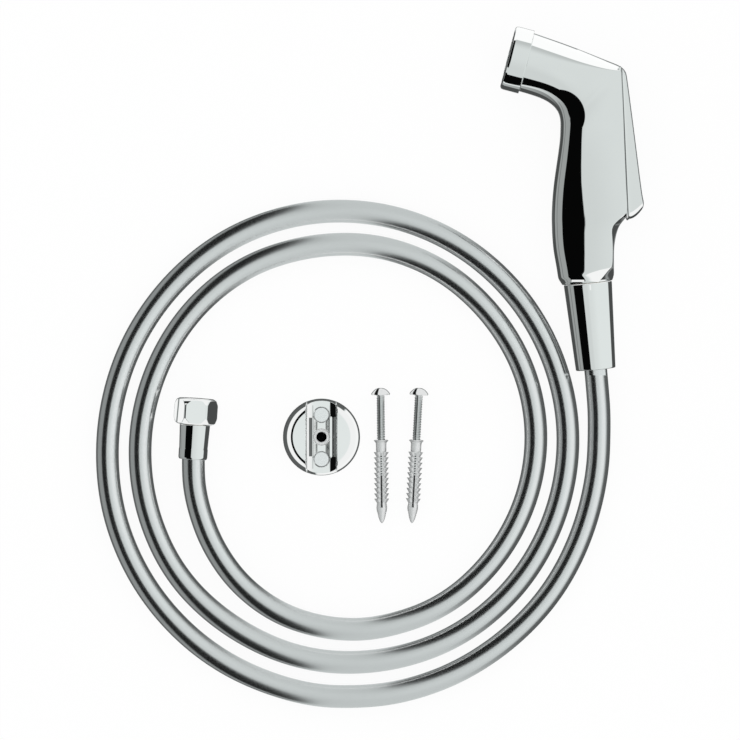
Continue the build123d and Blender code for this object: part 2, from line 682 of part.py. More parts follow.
screen_back = SCREEN_THICK - THREAD_LENGTH
check_valve = bar(
    nut_axis, screen_back, screen_back + VALVE_CARTRIDGE_LENGTH, CONNECTOR_BORE / 2, VALVE_CARTRIDGE_BORE / 2
)
save(check_valve, "check_valve")
with BuildPart() as filter_screen:
    with BuildSketch(nut_axis.offset(-THREAD_LENGTH)):
        Circle(CONNECTOR_BORE / 2)
        with GridLocations(SCREEN_PITCH, SCREEN_PITCH, 3, 3):
            Circle(SCREEN_HOLE / 2, mode=Mode.SUBTRACT)
    extrude(amount=SCREEN_THICK)
save(filter_screen.part, "filter_screen")
inlet_washer = bar(
    nut_axis, -THREAD_LENGTH - WASHER_THICK, -THREAD_LENGTH, WASHER_RADIUS, WASHER_BORE / 2
)
save(inlet_washer, "inlet_washer")
lead_flange = [(WASHER_RADIUS, insert_face), (WASHER_RADIUS, insert_face + INSERT_FLANGE)]
save(barbed_insert(nut_axis, insert_face, lead_flange), "lead_insert")
lead_ferrule = bar(nut_axis, -CONE_CAVITY + APART, insert_face, hose_radius + FERRULE_WALL, hose_radius)
save(lead_ferrule, "lead_ferrule")

cone_points = [
    (cone_top_radius, 0),
    (cone_end_radius, -CONE_LENGTH),
    (hose_radius + APART, -CONE_LENGTH),
    (hose_radius + APART, -CONE_CAVITY),
    (thread_radius + RUNNING, -CONE_CAVITY),
    (thread_radius + RUNNING, 0),
]
with BuildPart() as cone_nut:
    add(turned(nut_axis, cone_points))
    rims = cone_nut.edges().filter_by(GeomType.CIRCLE)
    fillet(rims.filter_by(lambda edge: edge.radius > cone_end_radius - RUNNING), CONE_EDGE)
save(cone_nut.part, "cone_nut")

# ================ sleeve and hex nut at the hose's other end
sleeve_top_radius = SLEEVE_TOP_DIAMETER / 2
ring_radius = SLEEVE_RING_DIAMETER / 2
sleeve_taper = (SLEEVE_TOP_DIAMETER - SLEEVE_END_DIAMETER) / 2 / SLEEVE_LENGTH
sleeve_points = [
    (NECK_RADIUS, 0),
    (sleeve_top_radius, 0),
    (sleeve_top_radius - SLEEVE_RING_START * sleeve_taper, -SLEEVE_RING_START),
    (ring_radius, -SLEEVE_RING_START),
    (ring_radius, -SLEEVE_RING_END),
    (SLEEVE_END_DIAMETER / 2, -SLEEVE_LENGTH),
    (hose_radius, -SLEEVE_LENGTH),
    (hose_radius, -SLEEVE_CROWN),
    (NECK_RADIUS, -SLEEVE_CROWN),
]
save(turned(sleeve, sleeve_points), "tail_sleeve")
lip_top = APART + HEX_LIP
flange_bottom = lip_top + SEAL_GAP
tail_flange = [
    (NECK_RADIUS, -SLEEVE_CROWN),
    (NECK_RADIUS, flange_bottom),
    (HEX_WASHER_RADIUS, flange_bottom),
    (HEX_WASHER_RADIUS, flange_bottom + INSERT_FLANGE),
]
save(barbed_insert(sleeve, -SLEEVE_CROWN, tail_flange), "tail_insert")
washer_bottom = flange_bottom + INSERT_FLANGE
washer_top = washer_bottom + WASHER_THICK
tail_washer = bar(sleeve, washer_bottom, washer_top, HEX_WASHER_RADIUS, WASHER_BORE / 2)
save(tail_washer, "tail_washer")

hex_top = APART + HEX_HEIGHT
hex_corner = HEX_FLATS / sqrt(3)
hex_turn = [
    (0, APART),
    (hex_corner - HEX_CHAMFER, APART),
    (hex_corner, APART + HEX_CHAMFER),
    (hex_corner, hex_top - HEX_CHAMFER),
    (hex_corner - HEX_CHAMFER, hex_top),
    (0, hex_top),
]
hex_bore = [
    (0, APART),
    (NECK_RADIUS + RUNNING, APART),
    (NECK_RADIUS + RUNNING, lip_top),
    (HEX_RELIEF_RADIUS, lip_top),
    (HEX_RELIEF_RADIUS, washer_top),
    (THREAD_MINOR / 2, washer_top),
    (THREAD_MINOR / 2, hex_top - HEX_CHAMFER),
    (THREAD_MINOR / 2 + HEX_CHAMFER, hex_top),
    (0, hex_top),
]
with BuildPart() as hex_nut:
    with BuildSketch(sleeve.offset(APART)):
        RegularPolygon(HEX_FLATS / 2, 6, major_radius=False, rotation=30)
    extrude(amount=HEX_HEIGHT)
    add(turned(sleeve, hex_turn), mode=Mode.INTERSECT)
    add(turned(sleeve, hex_bore), mode=Mode.SUBTRACT)
save(hex_nut.part, "hex_nut")

# ================ wall holder
holder_points = [
    (0, 0),
    (HOLDER_DIAMETER / 2, 0),
    (HOLDER_DIAMETER / 2, HOLDER_RIM),
    (HOLDER_SHOULDER_DIAMETER / 2, HOLDER_RIM + (HOLDER_DIAMETER - HOLDER_SHOULDER_DIAMETER) / 4),
    (HOLDER_TOP_DIAMETER / 2, HOLDER_HEIGHT),
    (0, HOLDER_HEIGHT),
]
channel = Plane(origin=(0, -HOLDER_DIAMETER, CHANNEL_HEIGHT), x_dir=(0, 0, 1), z_dir=(0, 1, 0))
cap_places = [(0, CAP_SPACING / 2), (0, -CAP_SPACING / 2)]
with BuildPart() as holder_body:
    add(turned(Plane.XY, holder_points))
    add(bar(channel, 0, 2 * HOLDER_DIAMETER, CHANNEL_RADIUS), mode=Mode.SUBTRACT)
    fillet(holder_body.faces().sort_by(Axis.Z)[-2:].edges(), HOLDER_EDGE)
    with BuildSketch(Plane.XY):
        Circle(RING_DIAMETER / 2)
        with Locations(*cap_places):
            Circle(SCREW_HOLE / 2)
    extrude(amount=HOLDER_HEIGHT, mode=Mode.SUBTRACT)
    with BuildSketch(Plane.XY.offset(CAP_SEAT)):
        with Locations(*cap_places):
            Circle(CAP_DIAMETER / 2)
    extrude(amount=HOLDER_HEIGHT, mode=Mode.SUBTRACT)
save(holder_body.part, "holder_body")
for number, (cap_x, cap_y) in enumerate(cap_places, 1):
    cap_plane = Plane(origin=(cap_x, cap_y, CAP_SEAT))
    save(bar(cap_plane, 0, CAP_THICK, CAP_DIAMETER / 2), f"screw_cap_{number}")
save(bar(Plane.XY, 0, RING_HEIGHT, RING_DIAMETER / 2, RING_BORE / 2), "centre_ring")

# ================ screws, part driven into their wall plugs
screw_radius = SCREW_DIAMETER / 2
head_screw_radius = SCREW_HEAD_DIAMETER / 2
tooth_radius = TOOTH_DIAMETER / 2
core_radius = PLUG_CORE_DIAMETER / 2
teeth_start = PLUG_START + PLUG_NECK_LENGTH
teeth_end = teeth_start + TOOTH_ROWS * TOOTH_PITCH
tooth_reach = sqrt(tooth_radius**2 - (TOOTH_GAP / 2) ** 2)  # from the plug's axis down to its lowest teeth
screw_tilt = asin((head_screw_radius - tooth_reach) / teeth_end)  # head and last teeth rest on z = 0


def make_screw(plane, label):
    """A pan-head screw along a plane's normal, which starts under its head."""
    profile_plane = Plane(origin=plane.origin, x_dir=plane.x_dir, z_dir=-plane.y_dir)
    with BuildPart() as screw:
        with BuildSketch(profile_plane):
            with BuildLine():
                Line((0, -SCREW_HEAD_HEIGHT), (RECESS_SPAN / 4, -SCREW_HEAD_HEIGHT))
                ThreePointArc(
                    (RECESS_SPAN / 4, -SCREW_HEAD_HEIGHT),
                    (0.78 * head_screw_radius, -0.66 * SCREW_HEAD_HEIGHT),
                    (head_screw_radius, -SCREW_HEAD_RIM),
                )
                Polyline(
                    (head_screw_radius, -SCREW_HEAD_RIM),
                    (head_screw_radius, 0),
                    (screw_radius, 0),
                    (screw_radius, SCREW_LENGTH - SCREW_POINT),
                    (0, SCREW_LENGTH),
                    (0, -SCREW_HEAD_HEIGHT),
                )
            make_face()
        revolve(axis=Axis(plane.origin, plane.z_dir))
        with BuildSketch(plane.offset(-SCREW_HEAD_HEIGHT)):
            Rectangle(RECESS_SPAN, RECESS_WIDTH)
            Rectangle(RECESS_WIDTH, RECESS_SPAN)
        extrude(amount=RECESS_DEPTH, mode=Mode.SUBTRACT)
    save(screw.part, label)


def make_plug(plane, label):
    """A toothed and slotted wall plug on the same plane as its screw."""
    plug_bore = screw_radius + RUNNING
    collar_radius_here = PLUG_COLLAR_DIAMETER / 2
    body_points = [
        (plug_bore, PLUG_START),
        (collar_radius_here, PLUG_START),
        (core_radius, PLUG_START + PLUG_COLLAR_THICK),
        (core_radius, teeth_end),
        (PLUG_TIP_DIAMETER / 2, PLUG_START + PLUG_LENGTH - PLUG_TIP_DIAMETER / 4),
        (0, PLUG_START + PLUG_LENGTH),
        (0, SCREW_LENGTH + RUNNING),
        (plug_bore, SCREW_LENGTH + RUNNING),
    ]
    teeth_points = [(core_radius - RUNNING, teeth_start)]
    for row in range(TOOTH_ROWS):
        tip = teeth_start + row * TOOTH_PITCH
        teeth_points += [(core_radius, tip), (tooth_radius, tip + RUNNING)]
        teeth_points.append((core_radius, tip + 0.9 * TOOTH_PITCH))
    teeth_points.append((core_radius - RUNNING, teeth_end))
    with BuildPart() as teeth:
        add(turned(plane, teeth_points))
        with BuildSketch(plane.offset(teeth_start)):
            Rectangle(TOOTH_GAP, 2 * TOOTH_DIAMETER)
        extrude(amount=teeth_end - teeth_start, mode=Mode.SUBTRACT)
    with BuildPart() as plug:
        add(turned(plane, body_points))
        add(teeth.part)
        with BuildSketch(plane.offset(PLUG_START + SLOT_START)):
            Rectangle(SLOT_WIDTH, 2 * TOOTH_DIAMETER)
        extrude(amount=SLOT_LENGTH, mode=Mode.SUBTRACT)
    save(plug.part, label)


for number, (screw_x, screw_y, lean) in enumerate(SCREW_PLACES, 1):
    across = Vector(cos(radians(lean)), sin(radians(lean)), 0)
    down = Vector(sin(radians(lean)), -cos(radians(lean)), -tan(screw_tilt)).normalized()
    screw_plane = Plane(origin=(screw_x, screw_y, head_screw_radius), x_dir=across, z_dir=down)
    make_screw(screw_plane, f"screw_{number}")
    make_plug(screw_plane, f"wall_plug_{number}")
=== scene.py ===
"""A chromed hand sprayer set: trigger handset, coiled silver hose, wall holder, screws and wall plugs.

The set lies flat. X runs to the right, Y up the camera's view and Z out of the floor; the origin is the
middle of the wall holder's back. Lengths are millimetres until skin, shell and nurbs write them in metres.
"""

import json
from functools import partial
from types import SimpleNamespace

import bmesh
import bpy
import numpy as np
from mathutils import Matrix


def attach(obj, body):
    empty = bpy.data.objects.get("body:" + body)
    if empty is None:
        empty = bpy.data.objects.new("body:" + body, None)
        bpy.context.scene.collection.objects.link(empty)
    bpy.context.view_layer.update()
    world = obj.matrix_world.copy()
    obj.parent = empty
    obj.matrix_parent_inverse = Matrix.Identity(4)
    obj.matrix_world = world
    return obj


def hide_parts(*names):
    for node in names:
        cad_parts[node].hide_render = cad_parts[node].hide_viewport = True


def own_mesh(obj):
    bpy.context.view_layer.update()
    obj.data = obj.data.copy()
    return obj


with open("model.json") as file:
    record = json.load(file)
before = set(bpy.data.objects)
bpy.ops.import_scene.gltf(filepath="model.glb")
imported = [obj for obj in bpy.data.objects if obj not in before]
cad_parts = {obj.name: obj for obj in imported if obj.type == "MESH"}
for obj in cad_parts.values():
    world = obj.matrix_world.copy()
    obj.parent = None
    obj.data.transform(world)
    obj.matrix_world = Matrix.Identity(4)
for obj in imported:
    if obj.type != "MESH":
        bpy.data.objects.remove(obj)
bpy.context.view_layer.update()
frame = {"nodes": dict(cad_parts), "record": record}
nodes = frame["nodes"]
MM = 0.001

# ======== camera
VIEW_WIDTH = 0.444
VIEW_CENTRE = (0.0291, 0.0402)
CAMERA_HEIGHT = 12.0
SENSOR = 36.0

camera_data = bpy.data.cameras.new("camera")
camera_data.sensor_width = SENSOR
camera_data.lens = SENSOR * CAMERA_HEIGHT / VIEW_WIDTH
camera_data.clip_end = 100
camera = bpy.data.objects.new("camera", camera_data)
camera.location = (*VIEW_CENTRE, CAMERA_HEIGHT)
bpy.context.scene.collection.objects.link(camera)
bpy.context.scene.camera = camera
bpy.context.scene.view_settings.view_transform = "Standard"


# ======== materials
def new_material(name):
    """An empty node material with its output; returns the material, its tree and the output node."""
    material = bpy.data.materials.new(name)
    material.use_nodes = True
    tree = material.node_tree
    tree.nodes.clear()
    return material, tree, tree.nodes.new("ShaderNodeOutputMaterial")


def feed(tree, value, socket):
    """Links a socket's value into another socket, or sets a plain number or colour there."""
    if isinstance(value, (int, float, tuple)):
        socket.default_value = value
    else:
        tree.links.new(value, socket)


def add_node(tree, kind, values=(), **settings):
    """A new shader node with its settings, and with values fed into the inputs that their keys name."""
    node = tree.nodes.new("ShaderNode" + kind)
    for name, value in settings.items():
        setattr(node, name, value)
    for key, value in dict(values).items():
        feed(tree, value, node.inputs[key])
    return node


def math_node(tree, operation, first, second=0.0, third=0.0):
    """The result of one Math node, whose inputs are sockets or numbers."""
    return add_node(tree, "Math", enumerate((first, second, third)), operation=operation).outputs[0]


def smooth_step(tree, value, low, high):
    """0 where value is at low, 1 where it is at high, with smooth ends."""
    values = {"Value": value, "From Min": low, "From Max": high}
    return add_node(tree, "MapRange", values, interpolation_type="SMOOTHSTEP").outputs["Result"]


def mix_numbers(tree, factor, first, second):
    """first where factor is 0 and second where it is 1."""
    return add_node(tree, "Mix", {0: factor, 2: first, 3: second}).outputs[0]


def mix_colours(tree, factor, first, second):
    """The first colour where factor is 0 and the second where it is 1."""
    values = {"Factor": factor, "A": (*first, 1), "B": (*second, 1)}
    return add_node(tree, "Mix", values, data_type="RGBA").outputs["Result"]


def mix_shaders(tree, factor, first, second):
    """The first shader node where factor is 0 and the second where it is 1."""
    return add_node(tree, "MixShader", {0: factor, 1: first.outputs[0], 2: second.outputs[0]})


def surface(name, colour, metallic, roughness, scale=400, bump=0.0, tint=0.0):
    """A finish: one noise drives its roughness, from one value to the other, its colour and its relief.

    The colour wanders by the share tint to both sides, and the relief is bump metres deep.
    """
    material, tree, output = new_material(name)
    place = add_node(tree, "TexCoord").outputs["Object"]
    grain = add_node(tree, "TexNoise", {"Scale": scale, "Detail": 2.0, "Vector": place}).outputs["Fac"]
    shades = [[min(1.0, c * share) for c in colour] for share in (1 - tint, 1 + tint)]
    values = {
        "Base Color": mix_colours(tree, grain, *shades),
        "Metallic": metallic,
        "Roughness": mix_numbers(tree, grain, *roughness),
    }
    if bump:
        relief = add_node(tree, "Bump", {"Strength": 0.35, "Distance": bump, "Height": grain})
        values["Normal"] = relief.outputs[0]
    tree.links.new(add_node(tree, "BsdfPrincipled", values).outputs[0], output.inputs[0])
    return material


FINISHES = {
    "chrome": surface("polished_chrome", (0.90, 0.91, 0.905), 1.0, (0.012, 0.03), scale=60, tint=0.01),
    "plated_steel": surface("plated_screw_steel", (0.80, 0.81, 0.81), 1.0, (0.06, 0.12), 900, tint=0.05),
    "silver_hose": surface("silver_hose_skin", (0.84, 0.85, 0.855), 1.0, (0.19, 0.23), 700, tint=0.015),
    "white_plastic": surface("white_moulding", (0.83, 0.83, 0.81), 0.0, (0.28, 0.4), bump=2e-5, tint=0.02),
    "grey_plastic": surface(
        "pale_grey_moulding", (0.88, 0.895, 0.90), 0.9, (0.1, 0.16), bump=2e-5, tint=0.02
    ),
    "plug_plastic": surface("plug_nylon", (0.74, 0.75, 0.75), 0.55, (0.34, 0.42), bump=2e-5, tint=0.03),
    "rubber": surface("black_rubber", (0.022, 0.022, 0.023), 0.0, (0.5, 0.7), bump=3e-5, tint=0.2),
    "brass": surface("dull_brass", (0.30, 0.24, 0.14), 1.0, (0.3, 0.45), scale=900, tint=0.06),
    "stainless": surface("drawn_steel", (0.62, 0.62, 0.63), 1.0, (0.18, 0.3), scale=900, tint=0.05),
}
# Painted reflection: the centre ring gets a plain white, unmetallic finish instead of its slot's, standing
# in for the white that its countersunk rim mirrors.
RING_PAINTED_WHITE = surface("ring_painted_white", (0.91, 0.93, 0.93), 0.0, (0.3, 0.4), bump=1e-5, tint=0.01)
for part in frame["record"]["subparts"]:
    mesh = nodes[part["node"]].data
    mesh.materials.clear()
    mesh.materials.append(FINISHES[part["material_slot"]])


# ======== meshes from numpy
SAME_POINT, NO_AREA = 1e-7, 1e-8  # metres


def new_object(name, mesh):
    """Links a mesh or curve as an object at the origin."""
    piece = bpy.data.objects.new(name, mesh)
    bpy.context.scene.collection.objects.link(piece)
    return piece


def skin(name, grid, wrap=(False, False), crease=30.0):
    """A quad mesh over a grid of points, (rows, columns, 3) in millimetres, joined round where wrap says.

    Faces point along the cross product of the row step and the column step. Edges that bend by more than
    crease degrees stay sharp.
    """
    rows, columns = grid.shape[:2]
    index = np.arange(rows * columns).reshape(rows, columns)
    if wrap[0]:
        index = np.vstack([index, index[:1]])
    if wrap[1]:
        index = np.hstack([index, index[:, :1]])
    corners = [index[:-1, :-1], index[1:, :-1], index[1:, 1:], index[:-1, 1:]]
    quads = np.stack(corners, axis=-1).reshape(-1, 4)
    mesh = bpy.data.meshes.new(name)
    mesh.vertices.add(rows * columns)
    mesh.vertices.foreach_set("co", (grid.reshape(-1, 3) * MM).ravel())
    mesh.loops.add(quads.size)
    mesh.loops.foreach_set("vertex_index", quads.ravel())
    mesh.polygons.add(len(quads))
    mesh.polygons.foreach_set("loop_start", np.arange(0, quads.size, 4))
    mesh.update(calc_edges=True)
    mesh.validate()
    finish_mesh(mesh, crease)
    return new_object(name, mesh)


def finish_mesh(mesh, crease):
    """Merges doubles, drops faces without area and smooths all but the creases."""
    work = bmesh.new()
    work.from_mesh(mesh)
    bmesh.ops.remove_doubles(work, verts=work.verts, dist=SAME_POINT)
    bmesh.ops.dissolve_degenerate(work, edges=work.edges, dist=NO_AREA)
    work.to_mesh(mesh)
    work.free()
    mesh.shade_smooth()
    mesh.set_sharp_from_angle(angle=np.radians(crease))


def axes(origin, along, across):
    """A place, which is a right-handed frame: its origin, and unit vectors across, up and along."""
    along = np.array(along, float) / np.linalg.norm(along)
    across = np.array(across, float)
    across -= along * across.dot(along)
    across /= np.linalg.norm(across)
    return np.array(origin, float), across, np.cross(along, across), along


def upright(y=0.0, z=0.0):
    """A place on the wall holder's middle plane that faces up."""
    return axes((0, y, z), (0, 0, 1), (1, 0, 0))


def round_axis(place, angle, radius, height):
    """Points at those angles and radii round a place's axis, and at those heights along it."""
    origin, across, up, along = place
    ring = np.cos(angle)[..., None] * across + np.sin(angle)[..., None] * up
    return origin + ring * radius[..., None] + height[..., None] * along


def placed(local, place):
    """Points of a place's own frame in the shared frame."""
    origin, across, up, along = place
    return origin + local[..., :1] * across + local[..., 1:2] * up + local[..., 2:] * along


def rounded(points, radius, steps=5):
    """An open profile with every inner corner eased by an arc of about that radius.

    An arc takes less than half of either side. A point close beside each of its ends keeps the sides flat.
    """
    most, beside = 0.45, 0.08
    points = np.array(points, float)
    out = [points[:1]]
    for before, corner, after in zip(points[:-2], points[1:-1], points[2:]):
        back, on = before - corner, after - corner
        reach_back, reach_on = np.linalg.norm(back), np.linalg.norm(on)
        reach = min(radius, most * reach_back, most * reach_on)
        start, end = corner + back / reach_back * reach, corner + on / reach_on * reach
        t = np.linspace(0, 1, steps)[:, None]
        out.append(start + back / reach_back * beside * reach)
        out.append((1 - t) ** 2 * start + 2 * t * (1 - t) * corner + t**2 * end)
        out.append(end + on / reach_on * beside * reach)
    out.append(points[-1:])
    return np.vstack(out)


def closed_profile(points, radius):
    """A closed (radius, height) outline, counter-clockwise, with its corners eased by about that radius."""
    points = np.array(points, float)
    loop = rounded(np.vstack([points, points[:2]]), radius)[1:-1]
    return np.vstack([loop, loop[:1]])


def full_turn(steps):
    """Angles all round an axis, as a column."""
    return np.linspace(0, 2 * np.pi, steps, endpoint=False)[:, None]


def turned(name, place, profile, steps=160):
    """A turned piece: each (radius, height) of the profile makes one ring round the place's axis."""
    radius, height = np.array(profile, float).T[:, None]
    return skin(name, round_axis(place, full_turn(steps), radius, height), (True, False))


def eased(value, low, high):
    """0 below low and 1 above high, with smooth ends."""
    share = np.clip((value - low) / (high - low), 0, 1)
    return share**2 * (3 - 2 * share)


def soft_lower(first, second, softness, level):
    """The lower of two values, eased where they cross; level, a value near both, keeps the sums small."""
    sums = np.exp(-(first - level) / softness) + np.exp(-(second - level) / softness)
    return level - softness * np.log(sums)


def settle(piece, body, slot, *replaced, finish=None):
    """Gives a piece its body, and its slot's finish unless it has its own.

    It also hides the CAD nodes that the piece stands for.
    """
    piece.data.materials.append(finish or FINISHES[slot])
    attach(piece, body)
    if replaced:
        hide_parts(*replaced)


def set_stage(piece, material):
    """Gives a piece of the stage its material."""
    piece.data.materials.append(material)


# ======== places of the handset and of the hose's ends
FOOT_MIDDLE = (159.6, 92.4, 14.5)
OFF_FLOOR = (0, -0.036679, 0.999327)  # square to the handset, which rises a little towards its head
HANDSET = axes(FOOT_MIDDLE, OFF_FLOOR, (1, 0, 0))
NUT = axes(FOOT_MIDDLE, (-0.092371, 0.995055, 0.036522), OFF_FLOOR)
HEAD = axes((111.7, 227.5092, 19.4535), (0.967268, -0.253588, -0.009297), OFF_FLOOR)
SLEEVE = axes((-75.8347, 7.3464, 11.498), (0.066274, 0.997133, 0.03651), (0, -0.03659, 0.99933))

# ======== hose
HOSE_DIAMETER = 13.7
COIL_MIDDLE = (14.1, 0.0)
COIL_REACH = 142.0  # from the middle, just outside the outer turn beside the cone nut
HOSE_LEVEL = 7.0  # the middle line of the lying hose
CURVE_PULL = 0.985  # the curve runs inside the coil's control points by this much
SLEEVE_GRIP, SLEEVE_LEAD = 2.5, 26.0  # down the sleeve's axis: the hose's end and its next control point
NUT_GRIP, NUT_LEAD = 18.0, 62.0  # the same down the cone nut's axis
# The coil from the sleeve outwards: direction from the coil's middle in degrees, and distance.
COIL_WAY = [
    (205, 96.3), (220, 101.8), (235, 107.5), (250, 111.8), (265, 114.0), (280, 115.4), (300, 116.4),
    (320, 115.1), (340, 114.5), (360, 114.5), (380, 114.3), (400, 114.0), (420, 115.1), (440, 115.7),
    (460, 115.6), (480, 117.4), (500, 118.4), (520, 119.7), (540, 122.5), (560, 126.0), (580, 130.2),
    (600, 132.0), (620, 134.8), (640, 135.5), (660, 136.4), (680, 135.5), (700, 134.3), (720, 133.7),
    (740, 133.0), (760, 133.2), (780, 133.9), (800, 134.9), (820, 136.0), (840, 137.2), (860, 137.8),
    (880, 139.5), (900, 142.0), (920, 146.1), (940, 149.7), (960, 153.0), (980, 155.0),
]  # fmt: skip
# From the coil to the cone nut.
LEAD_WAY = [
    (30.0, -156.1, 7.0), (61.0, -149.6, 7.0), (89.5, -137.2, 7.0), (116.7, -117.6, 7.0),
    (139.7, -91.9, 7.0), (156.1, -60.3, 7.0), (165.6, -24.3, 7.8), (166.8, 10.1, 10.6),
]  # fmt: skip


def hose_points():
    """The hose's control points: out of the sleeve, round the coil, and up along the cone nut's axis."""
    angle, reach = np.array(COIL_WAY).T
    angle, reach = np.radians(angle), reach / CURVE_PULL
    x, y = COIL_MIDDLE[0] + reach * np.cos(angle), COIL_MIDDLE[1] + reach * np.sin(angle)
    coil = np.column_stack([x, y, np.full(len(x), HOSE_LEVEL)])
    sleeve = [SLEEVE[0] - SLEEVE[3] * down for down in (SLEEVE_GRIP, SLEEVE_LEAD)]
    nut = [NUT[0] - NUT[3] * down for down in (NUT_LEAD, NUT_GRIP)]
    return np.vstack([sleeve, coil, LEAD_WAY, nut])


def nurbs(name, points, diameter):
    """A round tube along one quadratic NURBS curve with those control points."""
    curve = bpy.data.curves.new(name, "CURVE")
    curve.dimensions = "3D"
    spline = curve.splines.new("NURBS")
    spline.points.add(len(points) - 1)
    spline.points.foreach_set("co", np.column_stack([points * MM, np.ones(len(points))]).ravel())
    spline.order_u = 3
    spline.use_endpoint_u = True
    spline.resolution_u = 12
    spline.use_smooth = True
    curve.bevel_depth = diameter / 2 * MM
    curve.bevel_resolution = 12
    curve.use_fill_caps = True
    return new_object(name, curve)


hose = nurbs("silver_hose", hose_points(), HOSE_DIAMETER)
settle(hose, "base", "silver_hose", "hose_coil", "hose_lead")

# ======== handset body
# Stations along the handset, from the collar to the foot, each a line across it in the handset's own plane:
# front or lower end x, y; back or upper end x, y; half thickness; share of the handle's section (0 is a
# circle); how far from the front edge its flat face starts; depth and fullness of the back's rounding (a
# power, 2 is an ellipse); how far that rounding closes (0 leaves it open for the lever, 1 closes it).
STATIONS = np.array([
    (-41.4, 114.9, -32.4, 149.7, 17.9, 0.00, 14.0, 17.9, 2.0, 1.0),
    (-35.5, 113.2, -25.6, 147.3, 17.9, 0.03, 14.0, 17.2, 2.0, 1.0),
    (-28.5, 110.8, -17.0, 144.3, 17.9, 0.15, 14.1, 15.5, 2.0, 1.0),
    (-22.6, 107.6, -6.0, 140.2, 17.8, 0.45, 14.2, 12.5, 2.0, 1.0),
    (-18.6, 103.6, 5.0, 135.8, 17.6, 0.80, 14.3, 9.0, 2.0, 1.0),
    (-16.9, 99.6, 13.0, 132.6, 17.4, 0.97, 14.4, 6.5, 2.0, 1.0),
    (-16.4, 96.0, 17.8, 130.7, 17.2, 1.00, 14.4, 4.5, 2.0, 1.0),
    (-16.4, 93.0, 19.9, 129.3, 17.1, 1.00, 14.4, 2.6, 2.0, 0.7),
    (-16.5, 90.0, 20.9, 126.0, 16.9, 1.00, 14.3, 0.9, 2.0, 0.8),
    (-16.9, 84.0, 21.3, 114.0, 16.5, 1.00, 14.1, 0.9, 2.0, 0.8),
    (-18.4, 73.0, 22.0, 94.0, 15.2, 1.00, 14.5, 0.9, 2.0, 0.8),
    (-20.1, 61.0, 22.8, 75.0, 14.4, 1.00, 15.9, 0.9, 2.0, 0.8),
    (-21.2, 50.0, 23.6, 57.0, 13.8, 1.00, 17.9, 0.9, 2.0, 0.8),
    (-21.6, 41.0, 24.2, 46.0, 13.5, 1.00, 19.1, 0.9, 2.0, 0.8),
    (-21.6, 36.5, 24.2, 41.8, 13.5, 1.00, 19.5, 2.0, 1.6, 0.2),
    (-21.5, 33.5, 22.4, 38.6, 13.5, 1.00, 19.4, 4.0, 1.2, 1.0),
    (-21.4, 30.0, 19.0, 34.2, 13.5, 1.00, 19.2, 4.4, 1.2, 1.0),
    (-21.1, 25.5, 17.0, 28.4, 13.5, 1.00, 18.9, 2.6, 1.4, 1.0),
    (-20.5, 19.5, 15.9, 21.8, 13.6, 1.00, 18.3, 1.2, 1.8, 1.0),
    (-19.4, 13.0, 15.7, 16.0, 13.7, 1.00, 17.2, 1.0, 1.8, 1.0),
    (-18.4, 7.2, 15.7, 11.8, 13.7, 1.00, 16.3, 1.2, 1.6, 1.0),
    (-17.9, 3.8, 15.7, 10.2, 13.7, 1.00, 15.6, 1.8, 1.4, 1.0),
    (-17.5, 2.4, 15.7, 9.3, 13.6, 1.00, 15.2, 2.8, 1.2, 1.0),
    (-17.0, 1.4, 15.7, 7.6, 13.3, 1.00, 14.8, 4.6, 1.1, 1.0),
    (-16.2, 0.2, 15.6, 4.6, 12.8, 1.00, 14.2, 7.0, 1.1, 1.0),
    (-15.3, -1.2, 14.6, 1.6, 12.2, 1.00, 13.6, 8.6, 1.1, 1.0),
])  # fmt: skip
RIM_WIDTH, RIM_LEAN = 1.9, np.radians(52.0)  # the handle's edge, up to where its face leans by this much
STRIP_WIDTH, STRIP_LEAN = 6.2, np.radians(26.0)  # from the edge; the arc after the rim ends with this lean
FLAT_LEAN, BACK_LEAN = np.radians(5.4), np.radians(-1.2)  # where the flat face starts, and at its back
ROUNDING_DEPTHS = (0.6, 17.9)  # the least and the most
OPEN_SHARE = 0.25  # of its depth, an open rounding stops short
SKIN_THICKNESS = 1.2
BODY_ROWS = 230
NEAR_COLUMNS, MIDDLE_COLUMNS, FAR_COLUMNS = 28, 36, 22  # the near ones cover the strip along the front edge
NEAR_SHARE = 0.46  # of the width at most


def spline_rows(table, count):
    """Rows of a uniform cubic B-spline that runs close to the table's rows, from the first to the last."""
    control = table.copy()
    for _ in range(2):
        drawn = (control[:-2] + 4 * control[1:-1] + control[2:]) / 6
        control[1:-1] += table[1:-1] - drawn
    control = np.vstack([2 * control[0] - control[1], control, 2 * control[-1] - control[-2]])
    at = np.linspace(0, len(table) - 1, count)
    place = np.minimum(at.astype(int), len(table) - 2)
    t = (at - place)[:, None]
    return (
        control[place] * (1 - t) ** 3
        + control[place + 1] * (3 * t**3 - 6 * t**2 + 4)
        + control[place + 2] * (-3 * t**3 + 3 * t**2 + 3 * t + 1)
        + control[place + 3] * t**3
    ) / 6


def arc_height(distance, width, lean_from, lean_to):
    """How far an arc has risen at a distance along it, as its lean falls from one angle to the other."""
    radius = width / (np.sin(lean_from) - np.sin(lean_to))
    lean = np.sin(lean_from) - np.clip(distance, 0, width) / radius
    return radius * (np.sqrt(1 - lean**2) - np.cos(lean_from))


